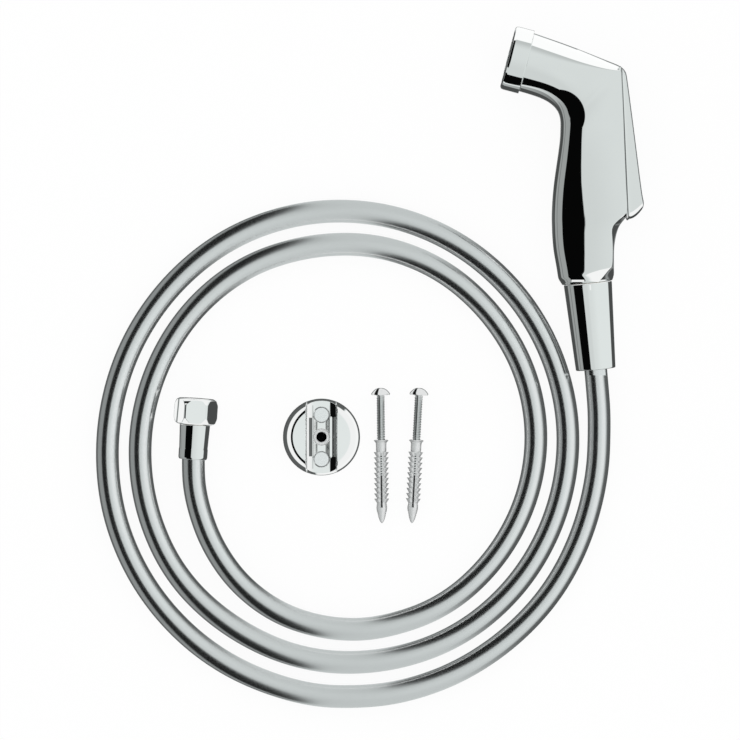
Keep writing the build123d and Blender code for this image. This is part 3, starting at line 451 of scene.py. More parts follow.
def handle_section(distance, width, thick, flat_start):
    """The handle's height at a distance from its front edge: a steep rim, two arcs and an almost flat face.

    The rim is a parabola that starts upright and ends with the first arc's lean; it takes up whatever
    height the arcs leave of the half thickness.
    """
    past = distance - RIM_WIDTH
    strip = STRIP_WIDTH - RIM_WIDTH
    belt = flat_start - STRIP_WIDTH
    arcs = ((0.0, strip, RIM_LEAN, STRIP_LEAN), (strip, belt, STRIP_LEAN, FLAT_LEAN))
    rise = sum(arc_height(past - start, length, lean_a, lean_b) for start, length, lean_a, lean_b in arcs)
    whole = sum(arc_height(length, length, lean_a, lean_b) for _, length, lean_a, lean_b in arcs)
    face = np.maximum(width - flat_start, 1.0)
    rise += arc_height(distance - flat_start, face, FLAT_LEAN, BACK_LEAN)
    whole += arc_height(face, face, FLAT_LEAN, BACK_LEAN)
    rim = thick - whole
    upright = rim - RIM_WIDTH * np.tan(RIM_LEAN)
    along = np.sqrt(np.clip(distance / RIM_WIDTH, 0, 1))
    return 2 * along * (1 - along) * upright + along**2 * rim + rise


def between(near, far, count):
    """Even columns from near's last to far's first, without those two."""
    return near[:, -1:] + (far[:, :1] - near[:, -1:]) * np.linspace(0, 1, count)[None, 1:-1]


def handset_grid(half):
    """One side of the handset: rows along it and columns from its front edge to its back edge.

    Across a station, the height is a mix of a circle's arc and the handle's section (by the distance square
    to the front edge), times a back curve that falls to nothing within the station's rounding.
    """
    rows = spline_rows(STATIONS, BODY_ROWS)
    front_x, front_y, back_x, back_y, thick, handle, flat_start, depth, power, closed = rows.T[:, :, None]
    width = np.hypot(back_x - front_x, back_y - front_y)
    handle, closed, depth = np.clip(handle, 0, 1), np.clip(closed, 0, 1), np.clip(depth, *ROUNDING_DEPTHS)
    edge_x, edge_y = np.gradient(front_x, axis=0), np.gradient(front_y, axis=0)
    area = np.abs(edge_x * (back_y - front_y) - edge_y * (back_x - front_x))
    square = area / width / np.hypot(edge_x, edge_y)
    near = np.minimum(STRIP_WIDTH / square, NEAR_SHARE * width) * np.linspace(0, 1, NEAR_COLUMNS) ** 2
    far = 1 - np.linspace(0, 1, FAR_COLUMNS) ** 2
    far = width - depth * (far + (1 - closed) * OPEN_SHARE * (1 - far))
    across = np.hstack([near, between(near, far, MIDDLE_COLUMNS), far])
    circle = np.sqrt(np.clip(1 - np.clip(1 - across / (width / 2), 0, 1) ** 2, 0, 1)) * thick
    section = handle_section(across * square, width * square, thick, flat_start)
    front = (1 - handle) * circle + handle * section
    past = np.clip(1 - (width - across) / depth, 0, 1)
    back = np.clip(1 - past**power, 0, 1) ** (1 / power)
    share = across / width
    x = front_x + (back_x - front_x) * share
    y = front_y + (back_y - front_y) * share
    return np.stack([x, y, half * front * back], axis=-1)


def shell(name, sheet, thickness):
    """The sheet that sheet(1) gives and its mirror sheet(-1), joined at their edges, with a wall inside."""
    grid = np.concatenate([sheet(1), sheet(-1)[:, ::-1]], axis=1)
    piece = skin(name, placed(grid, HANDSET), crease=40.0)
    wall = piece.modifiers.new("wall", "SOLIDIFY")
    wall.thickness = thickness * MM
    wall.offset = -1
    return piece


body_shell = shell("handset_skin", handset_grid, SKIN_THICKNESS)
settle(body_shell, "base", "chrome", "handset_body")

# ======== lever
# Rows along the lever, from its top to its heel: seam x, y; outer edge x, y; half thickness.
LEVER_ROWS = np.array([
    (19.2, 129.6, 19.6, 129.7, 16.0),
    (20.0, 128.2, 21.0, 128.6, 16.0),
    (20.5, 126.6, 22.4, 126.8, 15.9),
    (20.8, 124.0, 23.4, 123.6, 15.8),
    (21.3, 112.0, 25.0, 112.0, 15.1),
    (22.2, 90.0, 27.9, 90.0, 14.1),
    (23.2, 66.0, 30.9, 66.0, 13.2),
    (23.9, 52.0, 32.7, 53.0, 12.8),
    (24.1, 47.4, 33.3, 50.0, 12.7),
    (24.3, 43.8, 33.6, 47.8, 12.7),
    (24.5, 41.2, 33.4, 46.3, 12.7),
    (24.6, 39.6, 33.0, 45.3, 12.7),
    (24.7, 38.6, 32.5, 44.6, 12.7),
])  # fmt: skip
LEVER_TUCK = 1.6  # how far the lever's sides reach under the body's edge
COVE_HEIGHT, COVE_WIDTH = 0.25, 0.35  # the lever rises a little towards the seam
EDGE_DEPTH, HEEL_DEPTH = 0.8, 3.0  # how far inside the outer edge and above the heel the rounding starts
HEEL_BULGE, BULGE_REACH = 1.3, 8.0  # how far down the heel bulges, and how far up the bulge fades out
LEVER_THICKNESS = 1.0
LEVER_DRAWN, LEVER_NEAR, LEVER_MIDDLE, LEVER_FAR = 200, 14, 12, 12  # rows, and columns


def lever_sheet(half):
    """One side of the lever: an almost flat cheek, rounded at its outer edge and above its leaning heel."""
    rows = spline_rows(LEVER_ROWS, LEVER_DRAWN)
    seam_x, seam_y, edge_x, edge_y, thick = rows.T[:, :, None]
    width = np.hypot(edge_x - seam_x, edge_y - seam_y) + LEVER_TUCK
    depth = np.minimum(EDGE_DEPTH, 0.4 * (width - LEVER_TUCK))
    far = width - depth * (1 - np.linspace(0, 1, LEVER_FAR) ** 2)
    near = (LEVER_TUCK + 2 * COVE_WIDTH) * np.linspace(0, 1, LEVER_NEAR)
    near = np.minimum(near, far[:, :1] * np.linspace(0, 0.9, LEVER_NEAR))
    across = np.hstack([near, between(near, far, LEVER_MIDDLE), far])
    past = np.clip(1 - (width - across) / depth, 0, 1)
    edge = np.sqrt(np.clip(1 - past**2, 0, 1))
    cove = COVE_HEIGHT * np.exp(-np.maximum(across - LEVER_TUCK, 0) / COVE_WIDTH)
    share = (across - LEVER_TUCK) / (width - LEVER_TUCK)
    x = seam_x + (edge_x - seam_x) * share
    y = seam_y + (edge_y - seam_y) * share
    heel_x, heel_y = x[-1, -1] - x[-1, 0], y[-1, -1] - y[-1, 0]
    above = (heel_x * (y - y[-1, 0]) - heel_y * (x - x[-1, 0])) / np.hypot(heel_x, heel_y)
    heel = np.clip(1 - above / HEEL_DEPTH, 0, 1)
    z = (thick + cove) * edge - HEEL_DEPTH * (1 - np.sqrt(1 - heel**2))
    fade = np.clip(1 - above / BULGE_REACH, 0, 1) ** 2
    y = y - HEEL_BULGE * 4 * np.clip(share * (1 - share), 0, 1) * fade
    sheet = np.stack([x, y, half * np.maximum(z, 0)], axis=-1)
    return np.vstack([sheet, sheet[-1:] * (1, 1, 0)])


lever_skin = shell("lever_skin", lever_sheet, LEVER_THICKNESS)
settle(lever_skin, "lever", "chrome", "lever")

# ======== collar, cone nut and sleeve
COLLAR_PROFILE = [(17.0, 11.5), (17.0, 0.0), (18.1, 0.0), (19.1, 0.7), (19.4, 2.0), (19.4, 11.5)]
collar = turned("collar_skin", HEAD, closed_profile(COLLAR_PROFILE, 0.15))
settle(collar, "base", "chrome", "face_collar")

CONE_PROFILE = [(10.53, 0.0), (10.53, -31.0), (7.3, -31.0), (7.3, -52.0), (11.9, -52.0), (14.5, 0.0)]
cone_nut = turned("cone_nut_skin", NUT, closed_profile(CONE_PROFILE, 0.8))
settle(cone_nut, "cone_nut", "chrome", "cone_nut")

SLEEVE_PROFILE = [
    (6.5, 0.0), (6.5, -2.5), (6.95, -2.5), (6.95, -20.7), (8.1, -20.7),
    (8.65, -19.6), (8.7, -14.6), (8.5, -14.2), (9.1, 0.0),
]  # fmt: skip
tail_sleeve = turned("tail_sleeve_skin", SLEEVE, closed_profile(SLEEVE_PROFILE, 0.3))
settle(tail_sleeve, "base", "chrome", "tail_sleeve")

# ======== hex nut
HEX_FLAT, HEX_FOOT, HEX_TOP = 11.5, 0.3, 15.8
HEX_CORNER = 1.7
HEX_CHAMFER = [(0.0, 10.1), (0.22, 10.8), (1.0, 12.0), (9.0, 15.0)]  # distance from an end, radius there
CHAMFER_SOFT = 1 / 12
MOUTH_RADIUS, THREAD_ROOT, THREAD_CREST, THREAD_PITCH = 10.5, 10.35, 9.33, 1.814
THREAD_DEEP, THREAD_LENGTH = 1.0, 6.0
HEX_BORE = [(9.6, 8.5), (9.6, 3.3), (6.6, 3.3), (6.6, HEX_FOOT), (9.6, HEX_FOOT)]  # below the thread
HEX_STEPS = 480


def hex_grid():
    """The hex nut: columns go up its outside, over the mouth, down the thread and back along the bore.

    Outside, the radius is the smaller of a hexagon with rounded corners and a cone from each end, with a
    soft change between them. The thread's radius swings once in each pitch and winds with the angle.
    """
    angle = full_turn(HEX_STEPS)
    wall = np.linspace(0, 1, 90)[None, :]
    height = HEX_FOOT + (HEX_TOP - HEX_FOOT) * wall
    corner = np.mod(angle + np.pi / 6, np.pi / 3) - np.pi / 6
    to_arc = (HEX_FLAT - HEX_CORNER) / np.cos(np.pi / 6)
    past = np.pi / 6 - np.abs(corner)
    arc = to_arc * np.cos(past) + np.sqrt(np.maximum(HEX_CORNER**2 - (to_arc * np.sin(past)) ** 2, 0))
    on_arc = HEX_FLAT * np.tan(np.abs(corner)) > (HEX_FLAT - HEX_CORNER) * np.tan(np.pi / 6)
    hexagon = np.where(on_arc, arc, HEX_FLAT / np.cos(corner)) + 0 * height
    cone = np.interp(np.minimum(height - HEX_FOOT, HEX_TOP - height), *np.array(HEX_CHAMFER).T)
    outside = soft_lower(hexagon, cone, CHAMFER_SOFT, 11)
    turn = np.linspace(0, 1, 110)[None, :]
    depth = HEX_TOP - THREAD_DEEP - turn * THREAD_LENGTH
    swing = 0.5 - 0.5 * np.cos(2 * np.pi * (depth / THREAD_PITCH - angle / (2 * np.pi)))
    thread = THREAD_CREST + (THREAD_ROOT - THREAD_CREST) * swing * np.clip(turn * (1 - turn) * 12, 0, 1)
    ones = np.ones_like(angle)
    bore = np.array(HEX_BORE)
    radius = np.hstack([outside, ones * MOUTH_RADIUS, thread, ones * bore[:, 0], outside[:, :1]])
    level = np.hstack([ones * height, ones * HEX_TOP, ones * depth, ones * bore[:, 1], ones * HEX_FOOT])
    return round_axis(SLEEVE, angle, radius, level)


hex_nut = skin("hex_nut_skin", hex_grid(), (True, False), crease=50.0)
settle(hex_nut, "hex_nut", "chrome", "hex_nut")

# ======== wall holder
HOLDER_RADIUS, HOLDER_HEIGHT, HOLDER_BORE = 23.1, 18.0, 5.2
HOLDER_LEANS = [(16.9, 0.0), (18.6, 31.0), (20.6, 52.0), (22.4, 80.0), (23.1, 88.0)]  # radius, degrees
HOLDER_FLAT = HOLDER_LEANS[0][0]
HOLDER_STEPS, INNER_RINGS, FLANK_RINGS = 540, 130, 109
CHANNEL_FLOOR, CHANNEL_HALF, CHANNEL_SOFT, CHANNEL_WALL = 3.8, 9.3, 0.35, 16.0
OPEN_RISE, OPEN_SIDE, OPEN_POWER = 0.113, 5.0, 3.86  # beyond the caps, the floor's rise that far aside
CAP_SPACING, CAP_RADIUS = 26.6, 5.0
SHELF_START, SHELF_SLOPE = (5.1, 6.2), (0.34, 0.55)  # left and right of the caps, where the floor rises
SHELF_SOFT = 1.2  # over which it takes up its slope
SHELF_END = (11.4, 12.8)  # along Y, where it gives way to the open channel's floor
RIB_HEIGHT, RIB_SIDE = 1.7, (2.4, 5.0)


def holder_grid():
    """The holder: rings from the bore outwards, down the flank and back under it.

    Its height is the lower of a dome, whose lean grows towards the rim, and a channel along Y. The floor of
    the channel curves up slowly beyond the caps and quickly beside them, ends in steep walls, and drops in
    a skirt at the rim; a short rib joins the caps along its middle.
    """
    inner = np.linspace(HOLDER_BORE, HOLDER_FLAT, INNER_RINGS)
    flank = HOLDER_RADIUS - (HOLDER_RADIUS - HOLDER_FLAT) * np.linspace(1, 0, FLANK_RINGS + 1)[1:] ** 1.6
    radius = np.concatenate([inner, flank])
    lean = np.interp(radius, *np.array(HOLDER_LEANS).T)
    slope = np.tan(np.radians(lean))
    fall = np.concatenate([[0], np.cumsum((slope[1:] + slope[:-1]) / 2 * np.diff(radius))])
    dome = np.maximum(HOLDER_HEIGHT - fall, 1.2)[None, :]
    angle = full_turn(HOLDER_STEPS)
    x, y = np.cos(angle) * radius, np.sin(angle) * radius
    side = np.abs(x)
    open_floor = CHANNEL_FLOOR + OPEN_RISE * (side / OPEN_SIDE) ** OPEN_POWER
    past = side - np.where(x > 0, SHELF_START[1], SHELF_START[0])
    rise = SHELF_SOFT / 2 * np.clip(past / SHELF_SOFT, 0, 1) ** 2 + np.maximum(past - SHELF_SOFT, 0)
    shelf = CHANNEL_FLOOR + np.where(x > 0, SHELF_SLOPE[1], SHELF_SLOPE[0]) * rise
    channel = shelf + (open_floor - shelf) * eased(np.abs(y), *SHELF_END)
    skirt = np.minimum(2.6 + 1.5 * (22.5 - radius), 6.0 * (HOLDER_RADIUS - radius)) + 0 * x
    channel = np.minimum(channel, skirt)
    channel += CHANNEL_WALL * eased(side, CHANNEL_HALF - 0.45, CHANNEL_HALF + 0.25)
    channel += RIB_HEIGHT * (1 - eased(side, *RIB_SIDE)) * np.clip(CAP_SPACING / 2 - np.abs(y), 0, 1)
    height = np.maximum(soft_lower(dome, channel, CHANNEL_SOFT, 9), 0.3)
    radius = np.concatenate([radius, [HOLDER_RADIUS, HOLDER_BORE, HOLDER_BORE]])
    under = np.ones_like(angle) * (0.0, 0.0, CHANNEL_FLOOR)
    return round_axis(upright(), angle, radius[None], np.hstack([height, under]))[:, ::-1]


holder = skin("holder_skin", holder_grid(), (True, True), crease=60.0)
settle(holder, "base", "chrome", "holder_body")

CAP_PROFILE = [(0.0, 2.7), (4.9, 2.7), (CAP_RADIUS, 2.9), (CAP_RADIUS, 5.3), (4.55, 5.95), (0.0, 6.0)]
RING_PROFILE = [(3.15, 0.0), (5.1, 0.0), (5.1, 5.4), (4.6, 6.1), (4.1, 6.25), (3.5, 6.1), (3.15, 5.6)]
for number, cap_y in ((1, CAP_SPACING / 2), (2, -CAP_SPACING / 2)):
    cap = turned(f"cap_skin_{number}", upright(cap_y), rounded(CAP_PROFILE, 0.4), steps=72)
    settle(cap, "base", "grey_plastic", f"screw_cap_{number}")
# The ring's white finish is a painted reflection.
ring = turned("ring_skin", upright(), closed_profile(RING_PROFILE, 0.5), steps=96)
settle(ring, "base", "grey_plastic", "centre_ring", finish=RING_PAINTED_WHITE)

# ======== screws and wall plugs
SCREW_PLACES = [(35.46, 25.2, 0.6), (58.4, 25.2, -3.1)]  # under the head: x, y and lean from straight down
SCREW_RISE, SCREW_DIP = 5.6, np.radians(1.307)  # the screws dip a little towards their points
SCREW_ROOT, SCREW_CREST, SCREW_PITCH, SCREW_LENGTH, SCREW_POINT = 1.95, 2.5, 1.5, 54.0, 6.0
SCREW_HEAD = [(0.0, -4.2), (1.5, -4.2), (3.4, -3.4), (4.8, -2.0), (5.6, -0.9), (5.5, -0.1), (3.4, 0.0)]
SCREW_STEPS, SCREW_ROWS = 40, 800


def screw_grid(place):
    """A screw down its place's axis: a domed head, then a thread.

    The thread's radius swings once in each pitch and winds with the angle; it fades out at the point.
    """
    head = rounded(SCREW_HEAD, 1.6)
    angle = full_turn(SCREW_STEPS)
    length = np.linspace(0.0, SCREW_LENGTH, SCREW_ROWS)[None, :]
    swing = 0.5 + 0.5 * np.cos(2 * np.pi * (length / SCREW_PITCH - angle / (2 * np.pi)))
    taper = np.clip((SCREW_LENGTH - length) / SCREW_POINT, 0, 1) ** 0.7
    shank = (SCREW_ROOT + (SCREW_CREST - SCREW_ROOT) * swing) * taper
    radius = np.hstack([np.ones_like(angle) * head[:, 0], shank])
    height = np.hstack([np.ones_like(angle) * head[:, 1], length + 0 * angle])
    return round_axis(place, angle, radius, height)


PLUG_START, PLUG_NECK, PLUG_CORE, PLUG_END = 27.0, 7.2, 2.85, 77.0
TOOTH_ROWS, TOOTH_PITCH, TOOTH_TIP, TOOTH_GAP = 10, 3.1, 4.45, 1.7
SLOT_FROM, SLOT_TO, SLOT_HALF, SLOT_DEEP = 35.4, 67.4, 0.6, 1.95
# The black core that paints the shade in the plug's slots: its radius, and how far it stops short of the
# slots' ends.
SLOT_SHADE_RADIUS, SLOT_SHADE_INSET = 2.1, 0.1
PLUG_STEPS = 144
# The collar and the neck: radius, and height from the plug's start.
PLUG_HEAD = [
    (2.5, 1.6), (2.5, 0.0), (4.1, 0.0), (4.35, 0.5), (3.45, 1.3), (3.15, 2.2), (3.1, 4.0), (3.1, 6.6),
]  # fmt: skip
# One barb: share of the pitch, and share of the tooth's height.
BARB = [(0.0, 0.0), (0.03, 1.0), (0.2, 0.8), (0.45, 0.5), (0.7, 0.22), (0.88, 0.0), (0.96, 0.0)]


def plug_grid(place):
    """A wall plug on its screw's axis: collar, neck, barbed body with a slot on each face, rounded point.

    Each barb is widest at its upper end and tapers to the core; barbs fade out towards the smooth strips in
    front and behind, where the slots drop to the bore.
    """
    angle = full_turn(PLUG_STEPS)
    teeth_from = PLUG_START + PLUG_NECK
    teeth_to = teeth_from + TOOTH_ROWS * TOOTH_PITCH
    share, sweep = np.array(BARB).T
    barbs = (teeth_from + TOOTH_PITCH * (np.arange(TOOTH_ROWS)[:, None] + share)).ravel()
    point = np.linspace(0, 1, 26)[1:]
    head_radius, head_height = np.array(PLUG_HEAD).T
    height = np.concatenate([PLUG_START + head_height, barbs, teeth_to + (PLUG_END - teeth_to) * point])
    swell = PLUG_CORE + 0.4 * np.sin(np.pi * np.minimum(point * 2, 1))
    taper = swell * np.clip(1 - point**2.2, 0, 1) ** 0.62
    core = np.concatenate([head_radius, np.full(len(barbs), PLUG_CORE), taper])
    tooth = np.tile(sweep, TOOTH_ROWS) * (TOOTH_TIP - PLUG_CORE)
    tooth = np.concatenate([0 * head_height, tooth, 0 * point])
    sideways = np.abs(np.sin(angle))
    fade = np.clip((sideways * TOOTH_TIP - TOOTH_GAP + 0.25) / 0.5, 0, 1)
    radius = core + tooth * fade
    in_slot = (sideways * PLUG_CORE < SLOT_HALF) & (height > SLOT_FROM) & (height < SLOT_TO)
    radius = np.where(in_slot, np.minimum(radius, SLOT_DEEP), radius)
    return round_axis(place, angle, radius, height[None])


for number, (screw_x, screw_y, lean) in enumerate(SCREW_PLACES, 1):
    heading = np.radians(lean)
    down = (np.sin(heading), -np.cos(heading), -np.tan(SCREW_DIP))
    screw_place = axes((screw_x, screw_y, SCREW_RISE), down, (0, 0, 1))
    screw = skin(f"screw_skin_{number}", screw_grid(screw_place), (True, False), crease=50.0)
    settle(screw, "base", "plated_steel", f"screw_{number}")
    plug = skin(f"plug_skin_{number}", plug_grid(screw_place), (True, False), crease=25.0)
    settle(plug, "base", "plug_plastic", f"wall_plug_{number}")
    # Painted shade: a black core inside the plug stands in for the shade deep in its slots.
    start, end = SLOT_FROM + SLOT_SHADE_INSET, SLOT_TO - SLOT_SHADE_INSET
    profile = [(0.0, start), (SLOT_SHADE_RADIUS, start), (SLOT_SHADE_RADIUS, end), (0.0, end)]
    slot_shade_core = turned(f"plug_slot_shade_{number}", screw_place, profile, steps=32)
    settle(slot_shade_core, "base", "plug_plastic", finish=FINISHES["rubber"])

# ======== stage: floor, studio shells and light
FLOOR_REACH = 6000.0
FLOOR_GLOW = 0.93  # how white the floor looks, whatever falls on it
floor_material, tree, output = new_material("pale_floor")
paper = add_node(tree, "BsdfDiffuse", {"Color": (0.96, 0.96, 0.96, 1)})
white = add_node(tree, "Emission", {"Color": (1, 1, 1, 1)})
rays = add_node(tree, "LightPath").outputs
shown = math_node(tree, "MAXIMUM", rays["Is Camera Ray"], rays["Is Glossy Ray"])
shown = math_node(tree, "MAXIMUM", shown, rays["Is Transmission Ray"])
blend = mix_shaders(tree, math_node(tree, "MULTIPLY", shown, FLOOR_GLOW), paper, white)
tree.links.new(blend.outputs[0], output.inputs[0])
floor_grid = np.array([[(-1, -1, 0), (-1, 1, 0)], [(1, -1, 0), (1, 1, 0)]], float) * FLOOR_REACH
floor = skin("floor", floor_grid)
floor.visible_glossy = False
set_stage(floor, floor_material)

# Painted shade: a black disc on the floor under the holder's bore stands in for the shade deep inside the
# bore.
bore_shade_material, tree, output = new_material("painted_bore_shade")
dark = add_node(tree, "BsdfDiffuse", {"Color": (0.003, 0.003, 0.003, 1)})
tree.links.new(dark.outputs[0], output.inputs[0])
bore_shade_disc = turned("painted_bore_shade", upright(z=0.15), [(0.0, 0.0), (3.1, 0.0)], steps=48)
bore_shade_disc.visible_glossy = False
set_stage(bore_shade_disc, bore_shade_material)

# ======== what the pieces mirror
SOFT_EDGE = 0.05  # half the width of a box's soft edge


def product(tree, *factors):
    """The product of several factors."""
    result = factors[0]
    for factor in factors[1:]:
        result = math_node(tree, "MULTIPLY", result, factor)
    return result


def in_box(tree, place, low, high):
    """One where a place in the plan lies between two corners, else nought."""
    sides = []
    for axis in (0, 1):
        sides.append(smooth_step(tree, place[axis], low[axis] - SOFT_EDGE, low[axis] + SOFT_EDGE))
        sides.append(smooth_step(tree, place[axis], high[axis] + SOFT_EDGE, high[axis] - SOFT_EDGE))
    return product(tree, *sides)


def distance(tree, place, middle):
    """How far a place is from a point in the plan."""
    aside, above = (math_node(tree, "ADD", place[axis], -middle[axis]) for axis in (0, 1))
    squares = math_node(tree, "MULTIPLY_ADD", aside, aside, product(tree, above, above))
    return math_node(tree, "SQRT", squares)


def room_tools(tree):
    """The mirrored ray that meets a shell, and the node helpers tied to the shell's tree.

    The ray's x, y and z say where it is heading, turn is its angle from straight up to the left in degrees,
    flat how level it is, and east and north which way its level part goes. Its start, x and y in
    millimetres, is the point on the object that mirrors the shell.
    """
    math = partial(math_node, tree)
    hit = add_node(tree, "NewGeometry").outputs
    ahead = add_node(tree, "VectorMath", {0: hit["Incoming"], "Scale": -1.0}, operation="SCALE")
    x, y, z = add_node(tree, "SeparateXYZ", {0: ahead.outputs[0]}).outputs
    turn = math("DEGREES", math("ARCTAN2", math("MULTIPLY", x, -1.0), z))
    squares = math("ADD", math("MULTIPLY", x, x), math("MULTIPLY", y, y))
    flat = math("MAXIMUM", math("SQRT", squares), 0.001)
    east, north = math("DIVIDE", x, flat), math("DIVIDE", y, flat)
    length = add_node(tree, "LightPath").outputs["Ray Length"]
    values = {0: hit["Incoming"], 1: length, 2: hit["Position"]}
    back = add_node(tree, "VectorMath", values, operation="MULTIPLY_ADD")
    foot = add_node(tree, "SeparateXYZ", {0: back.outputs[0]}).outputs
    start = [math("MULTIPLY", foot[axis], 1 / MM) for axis in ("X", "Y")]
    ray = SimpleNamespace(x=x, y=y, z=z, turn=turn, flat=flat, east=east, north=north, start=start)
    helpers = (smooth_step, mix_numbers, product, in_box)
    return ray, math, *(partial(helper, tree) for helper in helpers)


BLACK, HORIZON = 0.002, 0.075  # how bright the banner and the dark horizon are
NECK_WAY, NECK_RANGE = (-0.69, 0.725), (34.0, 76.0)  # up the neck, and where along it the banner comes down
ELBOW, ELBOW_REACH = (142.0, 192.2), 15.8  # where the banner bends round the handset's elbow
# Boxes in the plan, from one corner to the other. In them the room paints reflections onto the handset:
# bright and dark bands at the heel and foot, a near white strip at the foot's rim, a dark grey line along
# the seam.
HEEL_BOX = (176, 105), (200, 145)
FOOT_BOX = (157.4, 88), (200, 105)
FOOT_RIM_BOX = (149.8, 92.9), (157.4, 94.2)
SEAM_BOX, SEAM_SLANT = ((189.25, 131.0), (189.95, 221.0)), 0.045


def chrome_room(tree, banner=(10.0, 52.0), wall_to=103.5, right_to=110.0):
    """What the fittings mirror: a black banner left of the zenith, a grey wall, pale walls, a dark horizon.

    The banner and the wall behind it are given in degrees from the zenith as seen to the left. Up the
    handset's neck they hang lower, and the wall is brighter. The seam beside the lever stays dark.
    """
    ray, math, step, mix, both, inside = room_tools(tree)
    polar = math("DEGREES", math("ARCCOSINE", ray.z))
    up_neck = math("MULTIPLY_ADD", ray.start[0], NECK_WAY[0], math("MULTIPLY", ray.start[1], NECK_WAY[1]))
    lower = both(step(up_neck, *NECK_RANGE), step(ray.start[0], 60.0, 80.0), step(ray.north, -0.45, -0.8))
    left, right = step(ray.east, -0.02, -0.12), step(ray.east, 0.0, 0.1)
    seen = mix(lower, ray.turn, polar)
    near_edge, far_edge, wall_end = (math("MULTIPLY_ADD", lower, -drop, seen) for drop in (52.0, 50.0, 4.0))

    level = mix(step(ray.turn, 9.0, -4.0), 0.70, 0.77)
    level = mix(step(ray.x, 0.08, 0.7), level, 0.84)
    level = mix(both(step(ray.north, 0.7, 0.85), step(ray.z, 0.8, 0.4)), level, 0.58)
    level = mix(both(left, step(near_edge, banner[0], banner[0] + 1.2)), level, BLACK)
    from_elbow = distance(tree, ray.start, ELBOW)
    at_elbow = step(from_elbow, ELBOW_REACH + 0.1, ELBOW_REACH - 0.1)
    level = mix(both(at_elbow, step(ray.z, 0.0, 0.3)), level, BLACK)
    level = mix(both(left, step(far_edge, banner[1], banner[1] + 1.5)), level, mix(lower, 0.36, 0.85))
    line = both(step(ray.turn, wall_to - 20, wall_to - 18), step(ray.turn, wall_to - 14, wall_to - 16))
    level = mix(both(left, line, step(lower, 0.3, 0.1)), level, 0.18)
    level = mix(both(left, step(wall_end, wall_to, wall_to + 2)), level, mix(lower, HORIZON, 0.45))
    level = mix(both(left, step(polar, max(120.0, wall_to), max(124.0, wall_to + 4))), level, HORIZON)
    level = mix(both(right, step(polar, right_to - 2, right_to + 2)), level, HORIZON)
    level = mix(both(step(ray.north, 0.70, 0.80), step(ray.z, 0.33, 0.29)), level, 1.08)

    heel = inside(ray.start, *HEEL_BOX)
    near_foot = math("ADD", inside(ray.start, *FOOT_BOX), heel)
    southward = both(step(ray.north, -0.45, -0.65), step(ray.east, -0.16, -0.10))
    foot = both(near_foot, southward, step(ray.flat, 0.17, 0.24))
    level = mix(foot, level, 1.0)
    level = mix(both(foot, step(ray.z, -0.24, -0.34)), level, 0.06)
    level = mix(both(foot, heel, step(ray.z, 0.35, 0.25)), level, 0.06)
    level = mix(inside(ray.start, *FOOT_RIM_BOX), level, 0.95)
    beside = math("MULTIPLY_ADD", ray.start[1], SEAM_SLANT, ray.start[0])
    level = mix(inside((beside, ray.start[1]), *SEAM_BOX), level, 0.17)
    return mix(step(ray.z, -0.93, -0.98), level, 0.22)


def cone_room(tree):
    """The chrome room with its banner further left, for the cone nut."""
    return chrome_room(tree, (26.0, 75.0), 115.0, 113.0)


def sleeve_room(tree):
    """The chrome room with a wide banner and a nearer dark wall on the right, for the tail's sleeve."""
    return chrome_room(tree, (14.0, 71.0), 134.0, 93.0)


# Painted reflections on the hex nut: a grey line down its left side and a small near black patch, mirrored
# only at those places.
STRIPE, STRIPE_SLANT, STRIPE_EDGE = (-88.1, -87.1), -0.096, 0.2  # the grey line on the hex nut's left side
PATCH_BOX = (-82.2, 20.2), (-78.2, 21.6)


def nut_room(tree):
    """The chrome room, with white above and below, and a white card with a grey line low on the left."""
    level = chrome_room(tree)
    ray, math, step, mix, both, inside = room_tools(tree)
    level = mix(both(step(ray.flat, 0.3, 0.2), step(ray.turn, 11.0, 10.0)), level, 0.86)
    ends = step(math("ABSOLUTE", ray.north), 0.35, 0.5)
    level = mix(both(ends, step(ray.z, 0.93, 0.85), step(ray.z, -0.80, -0.70)), level, 0.98)
    across = math("MULTIPLY_ADD", ray.start[1], STRIPE_SLANT, ray.start[0])
    from_left = step(across, STRIPE[0], STRIPE[0] + STRIPE_EDGE)
    line = both(from_left, step(across, STRIPE[1], STRIPE[1] - STRIPE_EDGE))
    card = both(step(ray.turn, 101.0, 104.0), step(ray.turn, 150.0, 135.0))
    level = mix(card, level, mix(line, 1.0, 0.25))
    level = mix(both(inside(ray.start, *PATCH_BOX), step(ray.north, 0.1, 0.25)), level, 0.02)
    return mix(step(ray.z, -0.70, -0.78), level, 0.2)


def hose_room(tree):
    """What the hose mirrors: a room with softer walls, which meet the floor in the dark on its right."""
    ray, math, step, mix, both, _ = room_tools(tree)
    sideways = math("ABSOLUTE", ray.y)
    level = mix(step(ray.x, 0.0, 0.7), 0.69, 0.90)
    level = mix(step(sideways, 0.2, 0.9), level, 0.65)
    level = mix(both(step(ray.turn, -60.0, -95.0), step(ray.east, 0.4, 0.7)), level, 0.11)
    leftward = step(ray.x, -0.12, -0.22)
    level = mix(leftward, level, 0.012)
    skyline = math("MULTIPLY_ADD", math("POWER", sideways, 4.5), 1.4, ray.z)
    level = mix(both(leftward, step(skyline, 0.54, 0.46)), level, 0.32)
    return mix(both(leftward, step(skyline, -0.30, -0.50)), level, 0.13)


# The parts of the holder's channel that mirror dark grey: its middle, a strip left of that, and its walls.
HOLDER_BOXES = [
    ((-5.4, -19), (5.4, 19)),
    ((-7.5, -11.6), (-5.4, 11.6)),
    ((-9.8, -17), (-9.1, 17)),
    ((9.1, -17), (9.8, 17)),
]


